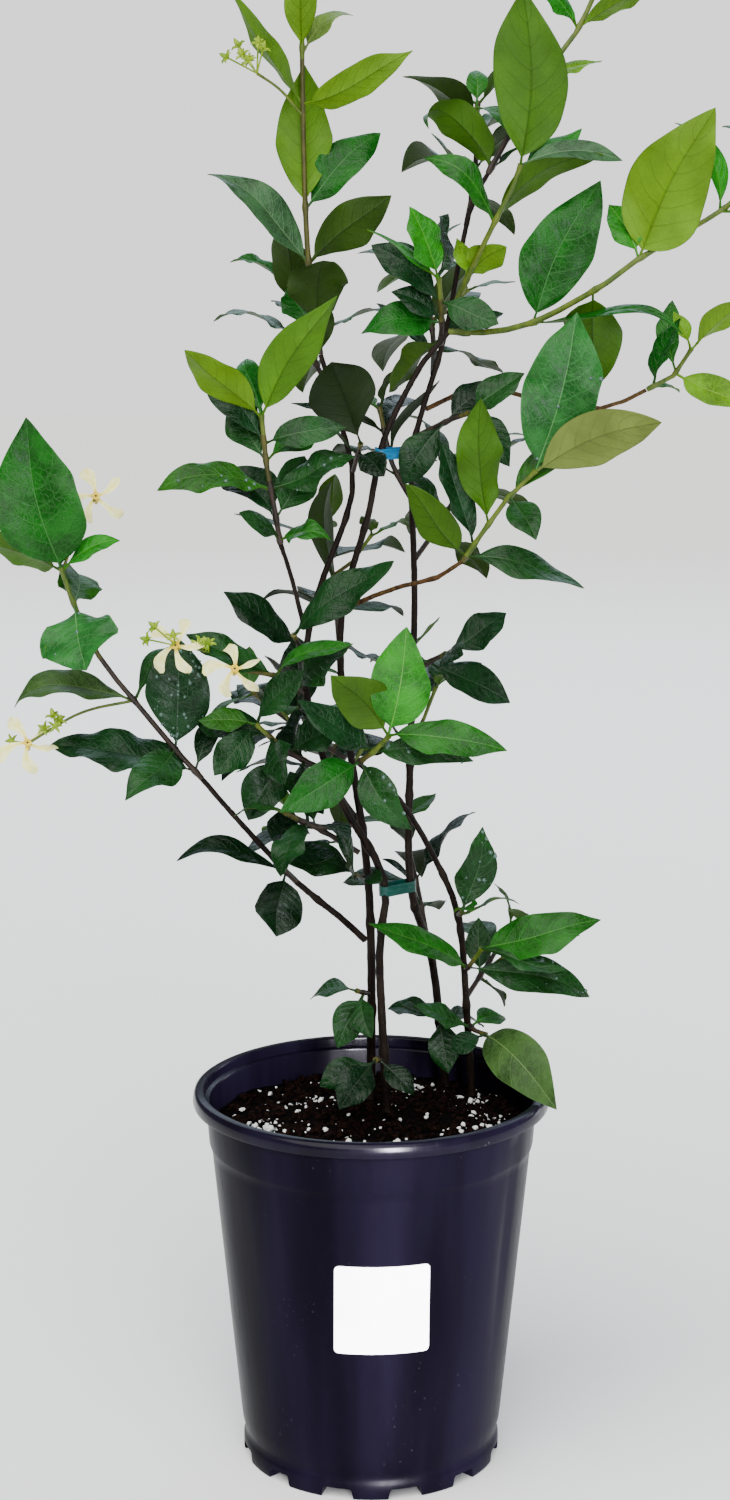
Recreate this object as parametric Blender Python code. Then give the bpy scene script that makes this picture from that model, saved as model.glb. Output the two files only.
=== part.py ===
"""Star jasmine in a nursery pot.

A twining evergreen shrub stands in a round plastic pot filled with bark compost. Four woody
stems rise from the compost, two snug bands hold them together, and boughs and leafy sprays
grow from them. A spray is one solid: a twig, its side twigs, its leaves in opposite pairs and
its blossom, joined by one Boolean union.

Metres, +Z up, with the origin at the centre of the pot's flat underside. The sizes below are in
millimetres and degrees. A heading is 0 towards +X and 90 towards +Y. A rise is 90 straight up.
"""

import math
import random

import bmesh
import bpy
from mathutils import Vector
from mathutils.bvhtree import BVHTree

MM = 0.001
UP = Vector((0, 0, 1))

# Clearance between neighbouring solids
GAP = 0.3

# Pot
POT_HEIGHT = 186.0
RIM_RADIUS = 87.0
LIP_HEIGHT = 8.0
SHOULDER_RADIUS = 80.5
SHOULDER_HEIGHT = 20.0
BODY_TOP_RADIUS = 78.0
BODY_FOOT_RADIUS = 64.5
FOOT_RING_RADIUS = 63.5
FOOT_RING_HEIGHT = 8.0
WALL = 2.0
FLOOR = 3.0
POT_SIDES = 36
DRAIN_NOTCHES = 12
NOTCH_WIDTH = 18.0
NOTCH_HEIGHT = 5.5
NOTCH_REACH = 52.0

# Compost
SOIL_LEVEL = 168.0

# Label stuck to the front of the pot, left blank
LABEL_SIDE = 45.0
LABEL_CORNER = 4.0
LABEL_THICKNESS = 0.4
LABEL_HEIGHT = 100.0
LABEL_TURN = 274.0

# Bands round the stems: height of the middle, width of the band and thickness
TIE_LOW = 284.0
TIE_HIGH = 493.0
TIE_WIDTH = 6.0
TIE_THICKNESS = 1.0
TIE_CLEARANCE = 0.4

# Leaves
LEAF_THICKNESS = {"old": 1.1, "grown": 1.0, "young": 0.9, "tender": 0.9}
FOLD = 16.0
LEAF_SECTIONS = ((46.0, (0.22, 0.50, 0.80)), (27.0, (0.28, 0.66)), (0.0, (0.42,)))
BLADE_SHIFT = 0.78
BLADE_FULLNESS = 0.85
FOOT = 0.45
SINK = 0.25
CROWDED_SHARE = 0.22
LEAF_CLEARANCE = 0.5
PAIR_STAGGER = 0.35

# Blossom
FLOWER_RADIUS = 13.0
FLOWER_THROAT = 3.6
PETALS = 5
PETAL_THICKNESS = 0.9
BUD_LENGTH = 7.0
BUD_RADIUS = 1.3
STALK_RADIUS = 0.7
BUD_STALK = (7.0, 17.0)
BUD_STALK_RADIUS = 0.55

# Limbs and twigs
TWIG_SIDES = 3
TWIG_STEP = 14.0
TWIG_GIRTH = (1.4, 1.1)
TWIG_LAST_PAIR = 0.985
STEM_SIDES = 5
STEM_STEP = 14.0
STEM_FLARE = 1.35
BOUGH_STEP = 12.0
SHORTEST_STEP = 3.5

# Short twigs in the leaf axils: chance of one at each place, and length
AXIL_TWIGS = (0.12, 14.0)
BACK_AXIL_TWIGS = (0.5, 24.0)
BACK_AXILS = (0.35, 0.6)
BACK_FIRST_PAIR = 0.3

# How far a spray may reach from the middle of its twig, beyond half the twig's length
SPREAD_LIMIT = 95.0

# Points closer than this are made one after a union
WELD = 0.004


def leaf(heading, rise, length, width, face=0, bend=25, age="grown"):
    """One measured leaf. Its face is 0 with the upper side up, 90 turned to the front."""
    return {"heading": heading, "rise": rise, "length": length, "width": width,
            "face": face, "bend": bend, "age": age}


def blossom(at, to, open_flowers, buds, seed):
    """A flower stalk from a place on the twig to a point, with its flowers and buds."""
    return {"at": at, "to": to, "open": open_flowers, "buds": buds, "seed": seed}


# Stems, from the compost up, as a few points that a smooth line runs through
STEMS = {
    "stem_left": {
        "route": [(0, 30, SOIL_LEVEL), (0, 25, 250), (-3, 20, 300), (-13, 12, 372),
                  (-14, 10, 417), (-1, 6, 466), (6, 7, 500), (24, 12, 535), (36, 13, 549)],
        "girth": (2.3, 1.3)},
    "stem_middle": {
        "route": [(8, 10, SOIL_LEVEL), (4, 4, 250), (6, 0, 290), (-17, -12, 336),
                  (-31, -8, 385), (-26, -2, 425), (-9, 14, 474), (-15, 22, 508), (-24, 28, 538)],
        "girth": (2.2, 1.2)},
    "stem_right": {
        "route": [(51, 40, SOIL_LEVEL), (48, 32, 210), (43, 17, 265), (31, 5, 298),
                  (13, -14, 332), (-6, -29, 352)],
        "girth": (2.0, 1.2)},
    "stem_back": {
        "route": [(38, 54, SOIL_LEVEL), (31, 46, 235), (19, 12, 284), (19, 30, 340),
                  (21, 34, 420), (19, 18, 482), (22, 20, 505), (35, 27, 548), (46, 38, 603),
                  (55, 42, 622)],
        "girth": (2.2, 1.1)},
}

# Boughs: the stem that each one leaves, the height where it does, and its route
BOUGHS = {
    "bough_low_left": {
        "limb": "stem_left", "at": 250, "girth": (1.7, 1.2),
        "route": [(-16, 14, 268), (-36, 5, 287), (-62, -5, 318), (-80, -11, 341)]},
    "bough_mid_left": {
        "limb": "stem_middle", "at": 406, "girth": (1.2, 1.0),
        "route": [(-37, -12, 436), (-42, -18, 453)]},
    "bough_mid_right": {
        "limb": "stem_left", "at": 419, "girth": (1.2, 1.0),
        "route": [(2, 0, 427), (14, -6, 432), (31, -12, 437), (42, -18, 445)]},
    "bough_far_right": {
        "limb": "stem_back", "at": 512, "girth": (1.2, 1.0),
        "route": [(52, 46, 522), (78, 58, 516), (112, 62, 511), (134, 60, 520)]},
}

# Sprays that the front view shows leaf by leaf. Each grows from a limb, at a height on it or
# from its tip, along its route. A node is a place on the twig and the leaves that spring there.
SPRAYS = {
    "spray_low_left": {
        "limb": "bough_low_left", "girth": (1.4, 1.1), "seed": 1,
        "route": [(-90, -14, 353), (-109, -20, 378), (-127, -22, 402), (-139, -24, 430),
                  (-143, -25, 443)],
        "nodes": [
            (0.04, [leaf(186, 15, 72, 26, 35, 30, "old"), leaf(60, 52, 32, 12, 20, 20, "old")]),
            (0.16, [leaf(8, 87, 53, 31, 88, 20, "old"), leaf(235, -25, 42, 22, 30, 40)]),
            (0.42, [leaf(180, 2, 63, 21, 30, 60, "old"), leaf(50, 45, 34, 12, 0, 30, "old")]),
            (0.86, [leaf(285, -38, 42, 38, 25, 20), leaf(95, 15, 45, 24, 0, 30, "old")]),
            (1.00, [leaf(178, 78, 72, 41, 82, 20), leaf(192, 30, 44, 24, -50, 20, "tender"),
                    leaf(350, 32, 31, 12, 40, 30, "young"), leaf(100, 20, 34, 18, 0, 30)])],
        "blossom": [blossom(0.42, (-160, -27, 361), 1, 5, 11),
                    blossom(1.0, (-128, -8, 474), 1, 0, 12)]},
    "spray_flowers": {
        "limb": "stem_middle", "at": 380, "girth": (1.3, 1.0), "seed": 2,
        "route": [(-45, -20, 392), (-62, -27, 396)],
        "nodes": [
            (0.12, [leaf(330, 42, 38, 22, 60, 20, "old")]),
            (0.50, [leaf(184, 24, 46, 17, 40, 30, "old"), leaf(8, 24, 46, 12, 40, 30)])],
        "blossom": [blossom(1.0, (-63, -34, 397), 1, 0, 21),
                    blossom(1.0, (-90, -33, 408), 1, 4, 22)]},
    "spray_mid_left": {
        "limb": "bough_mid_left", "girth": (1.3, 1.1), "seed": 3,
        "route": [(-45, -22, 472), (-48, -25, 490), (-50, -28, 513)],
        "nodes": [
            (0.03, [leaf(212, 34, 26, 15, 45, 40), leaf(325, 8, 30, 13, 40, 50)]),
            (0.20, [leaf(150, 38, 40, 24, 30, 20, "old"), leaf(35, 60, 34, 20, 60, 20, "old")]),
            (0.44, [leaf(182, 5, 55, 19, 35, 35, "old"), leaf(355, 24, 42, 18, 50, 20, "old")]),
            (0.66, [leaf(135, 48, 34, 18, 40, 30, "old"), leaf(30, 30, 34, 16, 30, 30, "old")]),
            (0.80, [leaf(352, 12, 39, 15, 60, 30), leaf(165, 46, 42, 18, 60, 20, "old")]),
            (1.00, [leaf(186, 33, 54, 20, -35, 40, "tender"), leaf(338, 54, 63, 22, -60, 15, "tender"),
                    leaf(140, 60, 36, 17, 60, 20)])]},
    "spray_fork_left": {
        "limb": "stem_middle", "at": 398, "girth": (1.3, 1.1), "seed": 44,
        "route": [(-34, -20, 407), (-36, -26, 412)],
        "nodes": [
            (0.5, [leaf(188, 36, 44, 19, 50, 20, "old")]),
            (1.0, [leaf(345, 36, 60, 20, 60, 15, "old")])]},
    "spray_high_left": {
        "limb": "stem_middle", "girth": (1.4, 1.0), "seed": 5,
        "route": [(-29, 31, 575), (-31, 32, 605), (-32, 30, 655), (-32, 26, 695),
                  (-30, 22, 718)],
        "nodes": [
            (0.06, [leaf(278, 62, 42, 28, 0, 20, "old"), leaf(125, 40, 36, 16, 30, 30)]),
            (0.24, [leaf(180, 45, 65, 20, 50, 25), leaf(4, 38, 50, 24, -60, 15, "old")]),
            (0.38, [leaf(272, 83, 66, 26, 0, 10, "tender"), leaf(15, 46, 53, 21, 60, 20)]),
            (0.65, [leaf(184, 64, 57, 18, -40, -35, "grown"), leaf(0, 25, 57, 19, -50, -30)]),
            (0.78, [leaf(272, 78, 46, 15, 0, 10, "tender"), leaf(12, 48, 32, 15, 30, 30)]),
            (1.00, [leaf(170, 62, 30, 12, 30, 20, "young"), leaf(340, 65, 28, 12, 30, 20, "young")])],
        "blossom": [blossom(0.62, (-53, 24, 667), 0, 7, 51)]},
    "spray_inner_left": {
        "limb": "stem_middle", "at": 482, "girth": (1.2, 1.1), "seed": 6,
        "route": [(-6, 6, 494), (-5, 1, 498)],
        "nodes": [
            (0.6, [leaf(188, 42, 40, 10, 0, 20, "old"), leaf(300, -20, 26, 14, 30, 30, "old")]),
            (1.0, [leaf(195, 57, 44, 32, -70, 20, "old")])]},
    "spray_top_centre": {
        "limb": "stem_back", "at": 556, "girth": (1.4, 1.1), "seed": 7,
        "route": [(49, 12, 583), (58, 2, 602), (64, -1, 614), (68, -4, 625)],
        "nodes": [
            (0.22, [leaf(175, 78, 20, 10, 60, 10, "tender"), leaf(335, 38, 26, 17, -50, 30, "tender")]),
            (0.64, [leaf(184, 48, 46, 14, 60, 30), leaf(352, 38, 60, 17, -40, 25)]),
            (1.00, [leaf(274, 84, 78, 35, 0, 10, "tender"), leaf(20, 20, 47, 15, 40, -30, "young"),
                    leaf(352, 6, 48, 13, 40, 30)])]},
    "spray_top_right": {
        "limb": "stem_back", "girth": (1.4, 1.1), "seed": 8,
        "route": [(80, 52, 666), (97, 56, 688), (112, 60, 720)],
        "nodes": [
            (0.03, [leaf(190, 42, 60, 20, -50, 100), leaf(20, 35, 26, 10, 0, 30, "old")]),
            (0.40, [leaf(5, 25, 38, 15, 30, 30), leaf(120, 72, 44, 18, 60, 20, "young")]),
            (0.72, [leaf(175, 48, 38, 17, 40, 30, "young"), leaf(350, 30, 44, 16, -40, 30, "young")]),
            (1.00, [leaf(160, 60, 28, 12, 30, 20, "young"), leaf(10, 52, 28, 12, 30, 20, "young")])]},
    "spray_high_right": {
        "limb": "stem_left", "girth": (1.5, 1.1), "seed": 9,
        "route": [(52, 8, 549), (75, -3, 554), (107, -16, 572), (120, -18, 582), (162, -5, 606),
                  (177, 0, 622)],
        "nodes": [
            (0.25, [leaf(2, 64, 72, 31, 80, 20), leaf(338, 2, 72, 11, 15, 20)]),
            (0.44, [leaf(80, -58, 54, 28, 0, 15)]),
            (0.59, [leaf(332, 62, 74, 39, -72, 10, "tender"), leaf(125, 50, 34, 16, 30, 30)]),
            (0.86, [leaf(140, 62, 52, 13, 20, 50, "young"), leaf(350, -10, 24, 10, 20, 30, "young")]),
            (1.00, [leaf(100, 50, 24, 11, 20, 20, "tender"), leaf(330, 40, 22, 10, 20, 20, "tender")])]},
    "spray_mid_right": {
        "limb": "bough_mid_right", "girth": (1.2, 1.1), "seed": 10,
        "route": [(51, -24, 459), (62, -28, 475), (75, -31, 488)],
        "nodes": [
            (0.05, [leaf(350, -10, 58, 18, 45, 25, "old"), leaf(184, 50, 44, 20, -55, 20)]),
            (0.18, [leaf(178, 72, 50, 15, 60, 20, "old")]),
            (0.40, [leaf(190, 74, 60, 22, -80, 15)]),
            (0.70, [leaf(15, 36, 46, 17, 30, 20, "old"), leaf(295, -35, 32, 16, 20, 30, "old")]),
            (1.00, [leaf(2, 76, 75, 35, 82, 20), leaf(343, 33, 74, 25, -60, 15, "tender")])]},
    "spray_far_right": {
        "limb": "bough_far_right", "girth": (1.2, 1.0), "seed": 11,
        "route": [(147, 58, 527), (155, 55, 540)],
        "nodes": [
            (0.10, [leaf(340, 68, 36, 14, 50, 20), leaf(5, 5, 17, 7, 20, 20, "young")]),
            (0.55, [leaf(330, -18, 46, 17, 50, -35, "tender"), leaf(100, 70, 40, 12, 30, 30)]),
            (1.00, [leaf(0, 42, 40, 17, -40, 20, "tender"), leaf(150, 60, 30, 12, 30, 20, "tender")])]},
    "spray_front": {
        "limb": "stem_right", "girth": (1.3, 1.1), "seed": 12,
        "route": [(2, -38, 360), (8, -45, 368)],
        "nodes": [
            (0.08, [leaf(206, -26, 46, 21, 65, 20), leaf(318, -44, 42, 18, 60, 30)]),
            (0.45, [leaf(352, -2, 48, 16, 55, 30, "old"), leaf(198, 38, 44, 19, 58, 20)]),
            (1.00, [leaf(206, 46, 42, 24, -75, 15, "young"), leaf(350, 72, 51, 28, 80, 15, "young"),
                    leaf(345, -2, 57, 18, 50, 30)])]},
    "spray_centre_left": {
        "limb": "stem_middle", "at": 345, "girth": (1.3, 1.1), "seed": 13,
        "route": [(-40, -20, 356), (-54, -25, 370)],
        "nodes": [
            (0.25, [leaf(100, 35, 36, 19, 60, 20, "old"), leaf(290, -38, 34, 19, 60, 20, "old")]),
            (0.45, [leaf(222, -48, 38, 21, 50, 20, "old"), leaf(340, 25, 32, 21, 60, 20, "old")]),
            (0.75, [leaf(160, 8, 40, 18, 45, 30, "old"), leaf(285, -30, 34, 19, 60, 20, "old")]),
            (1.00, [leaf(186, 4, 27, 13, 50, 20), leaf(215, -38, 34, 17, 55, 20, "old"),
                    leaf(335, 48, 36, 17, 65, 20, "old")])]},
    "spray_low_bough": {
        "limb": "bough_low_left", "at": 285, "girth": (1.2, 1.1), "seed": 14,
        "route": [(-42, -8, 296), (-45, -12, 302)],
        "nodes": [
            (0.5, [leaf(184, 12, 56, 14, 25, 45, "old"), leaf(250, -62, 32, 26, 50, 20, "old")]),
            (1.0, [leaf(60, 62, 28, 15, 50, 20, "old"), leaf(345, 8, 30, 14, 40, 20, "old")])]},
    "spray_low_centre": {
        "limb": "stem_left", "at": 284, "girth": (1.2, 1.1), "seed": 15,
        "route": [(-4, 4, 290), (-8, -6, 293)],
        "nodes": [
            (0.6, [leaf(184, 8, 46, 19, 45, 25, "old"), leaf(320, 20, 26, 13, 40, 20, "old")]),
            (1.0, [leaf(200, 70, 28, 14, 50, 20, "old"), leaf(240, 30, 26, 14, 60, 20, "old")])]},
    "spray_right_upper": {
        "limb": "stem_right", "at": 268, "girth": (1.2, 1.1), "seed": 16,
        "route": [(43, 9, 270), (44, 5, 272)],
        "nodes": [
            (0.5, [leaf(352, 20, 30, 8, 0, 20), leaf(60, 40, 28, 14, 20, 20, "old")]),
            (1.0, [leaf(18, 76, 43, 20, 85, 15, "old"), leaf(280, 20, 24, 12, 20, 20)])]},
    "spray_right_lower": {
        "limb": "stem_right", "at": 238, "girth": (1.3, 1.1), "seed": 17,
        "route": [(48, 18, 241), (54, 12, 252)],
        "nodes": [
            (0.1, [leaf(196, 27, 62, 16, 50, 25), leaf(352, -10, 64, 20, 55, 30, "old")]),
            (1.0, [leaf(352, 19, 61, 23, 55, 20), leaf(338, 0, 44, 10, 30, 15, "tender")])]},
    "spray_rim_right": {
        "limb": "stem_right", "at": 208, "girth": (1.3, 1.1), "seed": 18,
        "route": [(51, 24, 207), (57, 19, 206)],
        "nodes": [
            (0.2, [leaf(190, 22, 32, 14, 40, 25), leaf(60, 0, 30, 15, 20, 30)]),
            (1.0, [leaf(302, -20, 66, 25, 45, 50), leaf(220, -12, 24, 12, 30, 25, "old")])]},
    "spray_soil_left": {
        "limb": "stem_left", "at": 225, "girth": (1.2, 1.1), "seed": 19,
        "route": [(-4, 18, 228), (-7, 14, 230)],
        "nodes": [
            (0.5, [leaf(205, -62, 30, 16, 50, 20), leaf(300, -50, 26, 14, 40, 20, "old")]),
            (1.0, [leaf(150, -10, 30, 15, 20, 25, "old")])]},
    "spray_soil_front": {
        "limb": "stem_middle", "at": 196, "girth": (1.2, 1.1), "seed": 20,
        "route": [(4, 1, 199), (2, -3, 200)],
        "nodes": [
            (0.6, [leaf(195, -20, 32, 17, 45, 20, "old"), leaf(320, -30, 26, 12, 40, 20, "old")]),
            (1.0, [leaf(232, -42, 34, 18, 40, 20, "old")])]},
    "spray_soil_right": {
        "limb": "stem_back", "at": 206, "girth": (1.2, 1.1), "seed": 21,
        "route": [(34, 40, 209), (34, 36, 211)],
        "nodes": [
            (0.5, [leaf(30, -16, 30, 14, 20, 30, "old"), leaf(150, 0, 30, 15, 20, 20, "old")]),
            (1.0, [leaf(285, -58, 30, 16, 30, 20, "old"), leaf(240, 30, 26, 13, 20, 20, "old")])]},
    "spray_crown_centre": {
        "limb": "stem_back", "at": 540, "girth": (1.3, 1.1), "seed": 22,
        "route": [(33, 16, 554), (32, 8, 566), (31, 4, 574)],
        "nodes": [
            (0.10, [leaf(222, -52, 36, 18, -55, 20, "old"), leaf(20, 20, 34, 17, 50, 20, "old")]),
            (0.36, [leaf(184, -4, 39, 20, 60, 20), leaf(172, 26, 28, 15, 60, 20)]),
            (0.66, [leaf(160, 38, 44, 18, 50, 20, "old"), leaf(330, -18, 32, 17, 55, 20, "old")]),
            (1.00, [leaf(200, 68, 36, 18, 75, 20, "young"), leaf(180, 36, 40, 11, 25, 10),
                    leaf(60, 56, 42, 21, 75, 20, "old")])]},
    "spray_inner_right": {
        "limb": "stem_back", "at": 500, "girth": (1.3, 1.1), "seed": 23,
        "route": [(38, 10, 509), (46, 4, 512)],
        "nodes": [
            (0.5, [leaf(210, -50, 36, 18, 55, 20, "old"), leaf(20, 30, 34, 17, 50, 20, "old")]),
            (1.0, [leaf(355, 38, 32, 17, 60, 20), leaf(320, -45, 34, 15, 50, 30, "old")])]},
    "spray_inner_low": {
        "limb": "stem_back", "at": 385, "girth": (1.3, 1.1), "seed": 24,
        "route": [(30, 28, 392), (36, 22, 396)],
        "nodes": [
            (0.4, [leaf(350, -26, 44, 18, 55, 20, "old"), leaf(225, 12, 34, 17, 55, 20, "old")]),
            (1.0, [leaf(10, 34, 36, 19, 50, 20, "old"), leaf(285, 5, 32, 16, 45, 30, "old")])]},
}

# Sprays round the back and sides, which follow the same habit without being measured
BACK_SPRAYS = {
    "spray_back_low": {"limb": "stem_back", "at": 245, "seed": 31, "pairs": 4, "leaf": 46,
                       "turn": 65, "route": [(24, 66, 268), (16, 92, 298)]},
    "spray_back_left_low": {"limb": "stem_left", "at": 312, "seed": 32, "pairs": 4, "leaf": 54,
                            "turn": 70, "route": [(-20, 42, 330), (-30, 72, 352)]},
    "spray_back_right_low": {"limb": "stem_back", "at": 330, "seed": 33, "pairs": 4, "leaf": 50,
                             "turn": 40, "route": [(20, 60, 352), (18, 90, 384)]},
    "spray_back_middle": {"limb": "stem_left", "at": 400, "seed": 34, "pairs": 4, "leaf": 56,
                          "turn": 10, "route": [(-18, 46, 424), (-22, 76, 452)]},
    "spray_back_right_middle": {"limb": "stem_back", "at": 440, "seed": 35, "pairs": 4, "leaf": 56,
                                "turn": 60, "route": [(36, 62, 458), (52, 90, 484)]},
    "spray_back_high": {"limb": "stem_back", "at": 528, "seed": 36, "pairs": 4, "leaf": 54,
                        "turn": 30, "route": [(30, 58, 545), (26, 86, 578)]},
    "spray_back_high_left": {"limb": "stem_middle", "at": 520, "seed": 37, "pairs": 4, "leaf": 52,
                             "turn": 75, "route": [(-30, 54, 540), (-40, 78, 574)]},
    "spray_back_top": {"limb": "stem_back", "at": 596, "seed": 38, "pairs": 4, "leaf": 54,
                       "turn": 50, "route": [(50, 68, 622), (52, 86, 658)]},
    "spray_centre_back": {"limb": "stem_left", "at": 344, "seed": 41, "pairs": 4, "leaf": 50,
                          "turn": 35, "route": [(-34, 24, 358), (-58, 30, 376)]},
    "spray_centre_low": {"limb": "stem_left", "at": 296, "seed": 42, "pairs": 3, "leaf": 46,
                         "turn": 60, "route": [(-20, 24, 306), (-40, 26, 316)]},
    "spray_crown_back": {"limb": "stem_back", "at": 470, "seed": 43, "pairs": 4, "leaf": 48,
                         "turn": 15, "route": [(10, 38, 486), (4, 50, 512)]},
    "spray_left_low": {"limb": "stem_middle", "at": 318, "seed": 39, "pairs": 3, "leaf": 46,
                       "turn": 20, "route": [(-26, -30, 322), (-40, -44, 332)]},
    "spray_right_low_back": {"limb": "stem_right", "at": 222, "seed": 40, "pairs": 3, "leaf": 44,
                             "turn": 80, "route": [(60, 54, 234), (72, 70, 248)]},
}


class Route:
    """A smooth line through a few points, read by its fraction or by its height."""

    def __init__(self, points, step=10.0):
        marks = [Vector(point) for point in points]
        ends = [2 * marks[0] - marks[1]] + marks + [2 * marks[-1] - marks[-2]]
        self.points = [marks[0]]
        for a, b, c, d in zip(ends, ends[1:], ends[2:], ends[3:]):
            count = max(1, round((c - b).length / step))
            for index in range(1, count + 1):
                t = index / count
                self.points.append(0.5 * (2 * b + (c - a) * t + (2 * a - 5 * b + 4 * c - d) * t * t
                                          + (3 * b - a - 3 * c + d) * t ** 3))
        self.measure()

    def measure(self):
        self.marks = [0.0]
        for a, b in zip(self.points, self.points[1:]):
            self.marks.append(self.marks[-1] + (b - a).length)
        self.length = self.marks[-1]

    def place(self, fraction):
        """The point at a fraction of the length, and the direction there."""
        wanted = min(max(fraction, 0.0), 1.0) * self.length
        for a, b, start, end in zip(self.points, self.points[1:], self.marks, self.marks[1:]):
            if wanted <= end or end == self.length:
                share = (wanted - start) / (end - start)
                return a.lerp(b, share), (b - a).normalized()

    def fraction_at(self, height):
        """The fraction of the length where the line first reaches a height."""
        for a, b, start, end in zip(self.points, self.points[1:], self.marks, self.marks[1:]):
            if b.z >= height:
                share = (height - a.z) / (b.z - a.z)
                return (start + share * (end - start)) / self.length
        return 1.0

    def nearest(self, point):
        """The distance from a point to the line, and the nearest point of the line."""
        best = (math.inf, None)
        for a, b in zip(self.points, self.points[1:]):
            along = b - a
            share = min(max((point - a).dot(along) / along.length_squared, 0.0), 1.0)
            foot = a + share * along
            best = min(best, ((point - foot).length, foot), key=lambda pair: pair[0])
        return best


class Limb:
    """A tapering stem, bough or twig along a route, cut square to its foot direction."""

    def __init__(self, route, girth, sides, foot=None):
        self.route = route
        self.girth = girth
        self.sides = sides
        self.foot = foot

    def radius(self, fraction):
        return self.girth[0] + (self.girth[1] - self.girth[0]) * fraction

    def solid(self, flare=1.0):
        """Rings of points along the route, closed at both ends."""
        points = self.route.points
        rings = []
        side = Vector((1, 0, 0))
        for index, point in enumerate(points):
            ahead = points[min(index + 1, len(points) - 1)] - points[max(index - 1, 0)]
            ahead = self.foot if self.foot and index == 0 else ahead.normalized()
            side = (side - side.dot(ahead) * ahead).normalized()
            other = ahead.cross(side)
            radius = self.radius(self.route.marks[index] / self.route.length)
            if index == 0:
                radius *= flare
            rings.append([point + radius * (math.cos(turn) * side + math.sin(turn) * other)
                          for turn in (math.tau * k / self.sides for k in range(self.sides))])
        return loft(rings)


def loft(rings):
    """A closed solid through rings of equal count, with flat ends."""
    count = len(rings[0])
    points = [point for ring in rings for point in ring]
    faces = [tuple(range(count))[::-1]]
    for low in range(0, len(points) - count, count):
        for k in range(count):
            follow = (k + 1) % count
            faces.append((low + k, low + follow, low + count + follow, low + count + k))
    faces.append(tuple(range(len(points) - count, len(points))))
    return points, faces


def trimmed(route, parent, radius):
    """The route without the stretch that lies inside its parent limb or too close to it."""
    step = 0.002
    fraction = 0.0
    while fraction < 0.9:
        point, ahead = route.place(fraction)
        distance, foot = parent.route.nearest(point)
        outward = (point - foot).normalized() if distance > 0.01 else ahead
        lean = math.sqrt(max(0.0, 1 - ahead.dot(outward) ** 2))
        reach = parent.radius(parent.route.fraction_at(foot.z)) + GAP
        if distance - radius * lean >= reach:
            break
        fraction += step
    start, _ = route.place(fraction)
    kept = [point for point, mark in zip(route.points, route.marks)
            if mark > fraction * route.length + SHORTEST_STEP]
    result = Route([start] + kept[:1], step=1000)
    result.points = [start] + kept
    result.measure()
    return result


def grown_from(spec, limbs, girth, sides, step):
    """A bough or a twig that starts clear of the limb that carries it, at its side or its tip."""
    parent = limbs[spec["limb"]]
    if "at" in spec:
        start, _ = parent.route.place(parent.route.fraction_at(spec["at"]))
        route = trimmed(Route([start] + spec["route"], step), parent, girth[0])
        return Limb(route, girth, sides)
    tip, ahead = parent.route.place(1.0)
    return Limb(Route([tip + GAP * ahead] + spec["route"], step), girth, sides, ahead)


def direction(heading, rise):
    """A unit vector from its compass heading and its rise."""
    turn, lift = math.radians(heading), math.radians(rise)
    return Vector((math.cos(lift) * math.cos(turn), math.cos(lift) * math.sin(turn),
                   math.sin(lift)))


def facing(heading, rise, face):
    """The direction that a leaf's upper side faces."""
    upper = direction(heading, rise + 90)
    ahead = direction(heading, rise)
    side = 1 if math.cos(math.radians(heading)) >= 0 else -1
    turn = math.radians(face) * side
    return upper * math.cos(turn) + ahead.cross(upper) * math.sin(turn)


def blade_width(share):
    """Half the width of a blade at a share of its length, as part of the widest."""
    return math.sin(math.pi * share ** BLADE_SHIFT) ** BLADE_FULLNESS


def leaf_solid(base, ahead, upper, shape, growth=0.0, start=0.0):
    """A blade folded along its midrib, thickest there, on a curved line from its base."""
    length, width = shape["length"], shape["width"]
    bend = math.radians(shape["bend"]) or 0.01
    thickness = LEAF_THICKNESS[shape["age"]]
    fold = math.radians(FOLD)
    side = ahead.cross(upper)

    def section(share, half, depth=thickness):
        rest = bend / 2 - bend * share
        middle = base + (length / bend) * ((math.sin(bend / 2) - math.sin(rest)) * ahead
                                           + (math.cos(rest) - math.cos(bend / 2)) * upper)
        normal = math.cos(rest) * upper - math.sin(rest) * ahead
        spread = (half + growth) * math.cos(fold) * side
        raised = (half + growth) * math.sin(fold) * normal
        return [middle - spread + raised, middle - normal * (depth + growth),
                middle + spread + raised, middle + normal * growth]

    rings = []
    if start:
        rings.append(section(start, width / 2 * blade_width(start)))
    else:
        foot = section(0.0, FOOT, 2 * FOOT)
        rings.append([point - SINK * ahead + FOOT * upper for point in foot])
    sections = next(shares for least, shares in LEAF_SECTIONS if length > least)
    rings += [section(share, width / 2 * blade_width(share)) for share in sections
              if share > start]
    points, faces = loft(rings)
    tip = section(1.0, 0.0)[3]
    last = len(points) - 4
    faces[-1:] = [(last + k, last + (k + 1) % 4, len(points)) for k in range(4)]
    return points + [tip], faces


def flower_solid(centre, axis):
    """A five-armed pinwheel star."""
    side = axis.orthogonal().normalized()
    other = axis.cross(side)
    outline = []
    for petal in range(PETALS):
        for turn, radius in ((0.0, FLOWER_THROAT), (0.45, FLOWER_RADIUS)):
            angle = math.tau * (petal + turn) / PETALS
            outline.append(radius * (math.cos(angle) * side + math.sin(angle) * other))
    half = PETAL_THICKNESS / 2 * axis
    count = len(outline)
    points = [centre + way * half + point for way in (-1, 1) for point in outline]
    points += [centre - half, centre + half]
    faces = []
    for k in range(count):
        follow = (k + 1) % count
        faces.append((k, follow, count + follow, count + k))
        faces.append((2 * count, follow, k))
        faces.append((2 * count + 1, count + k, count + follow))
    return points, faces


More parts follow.
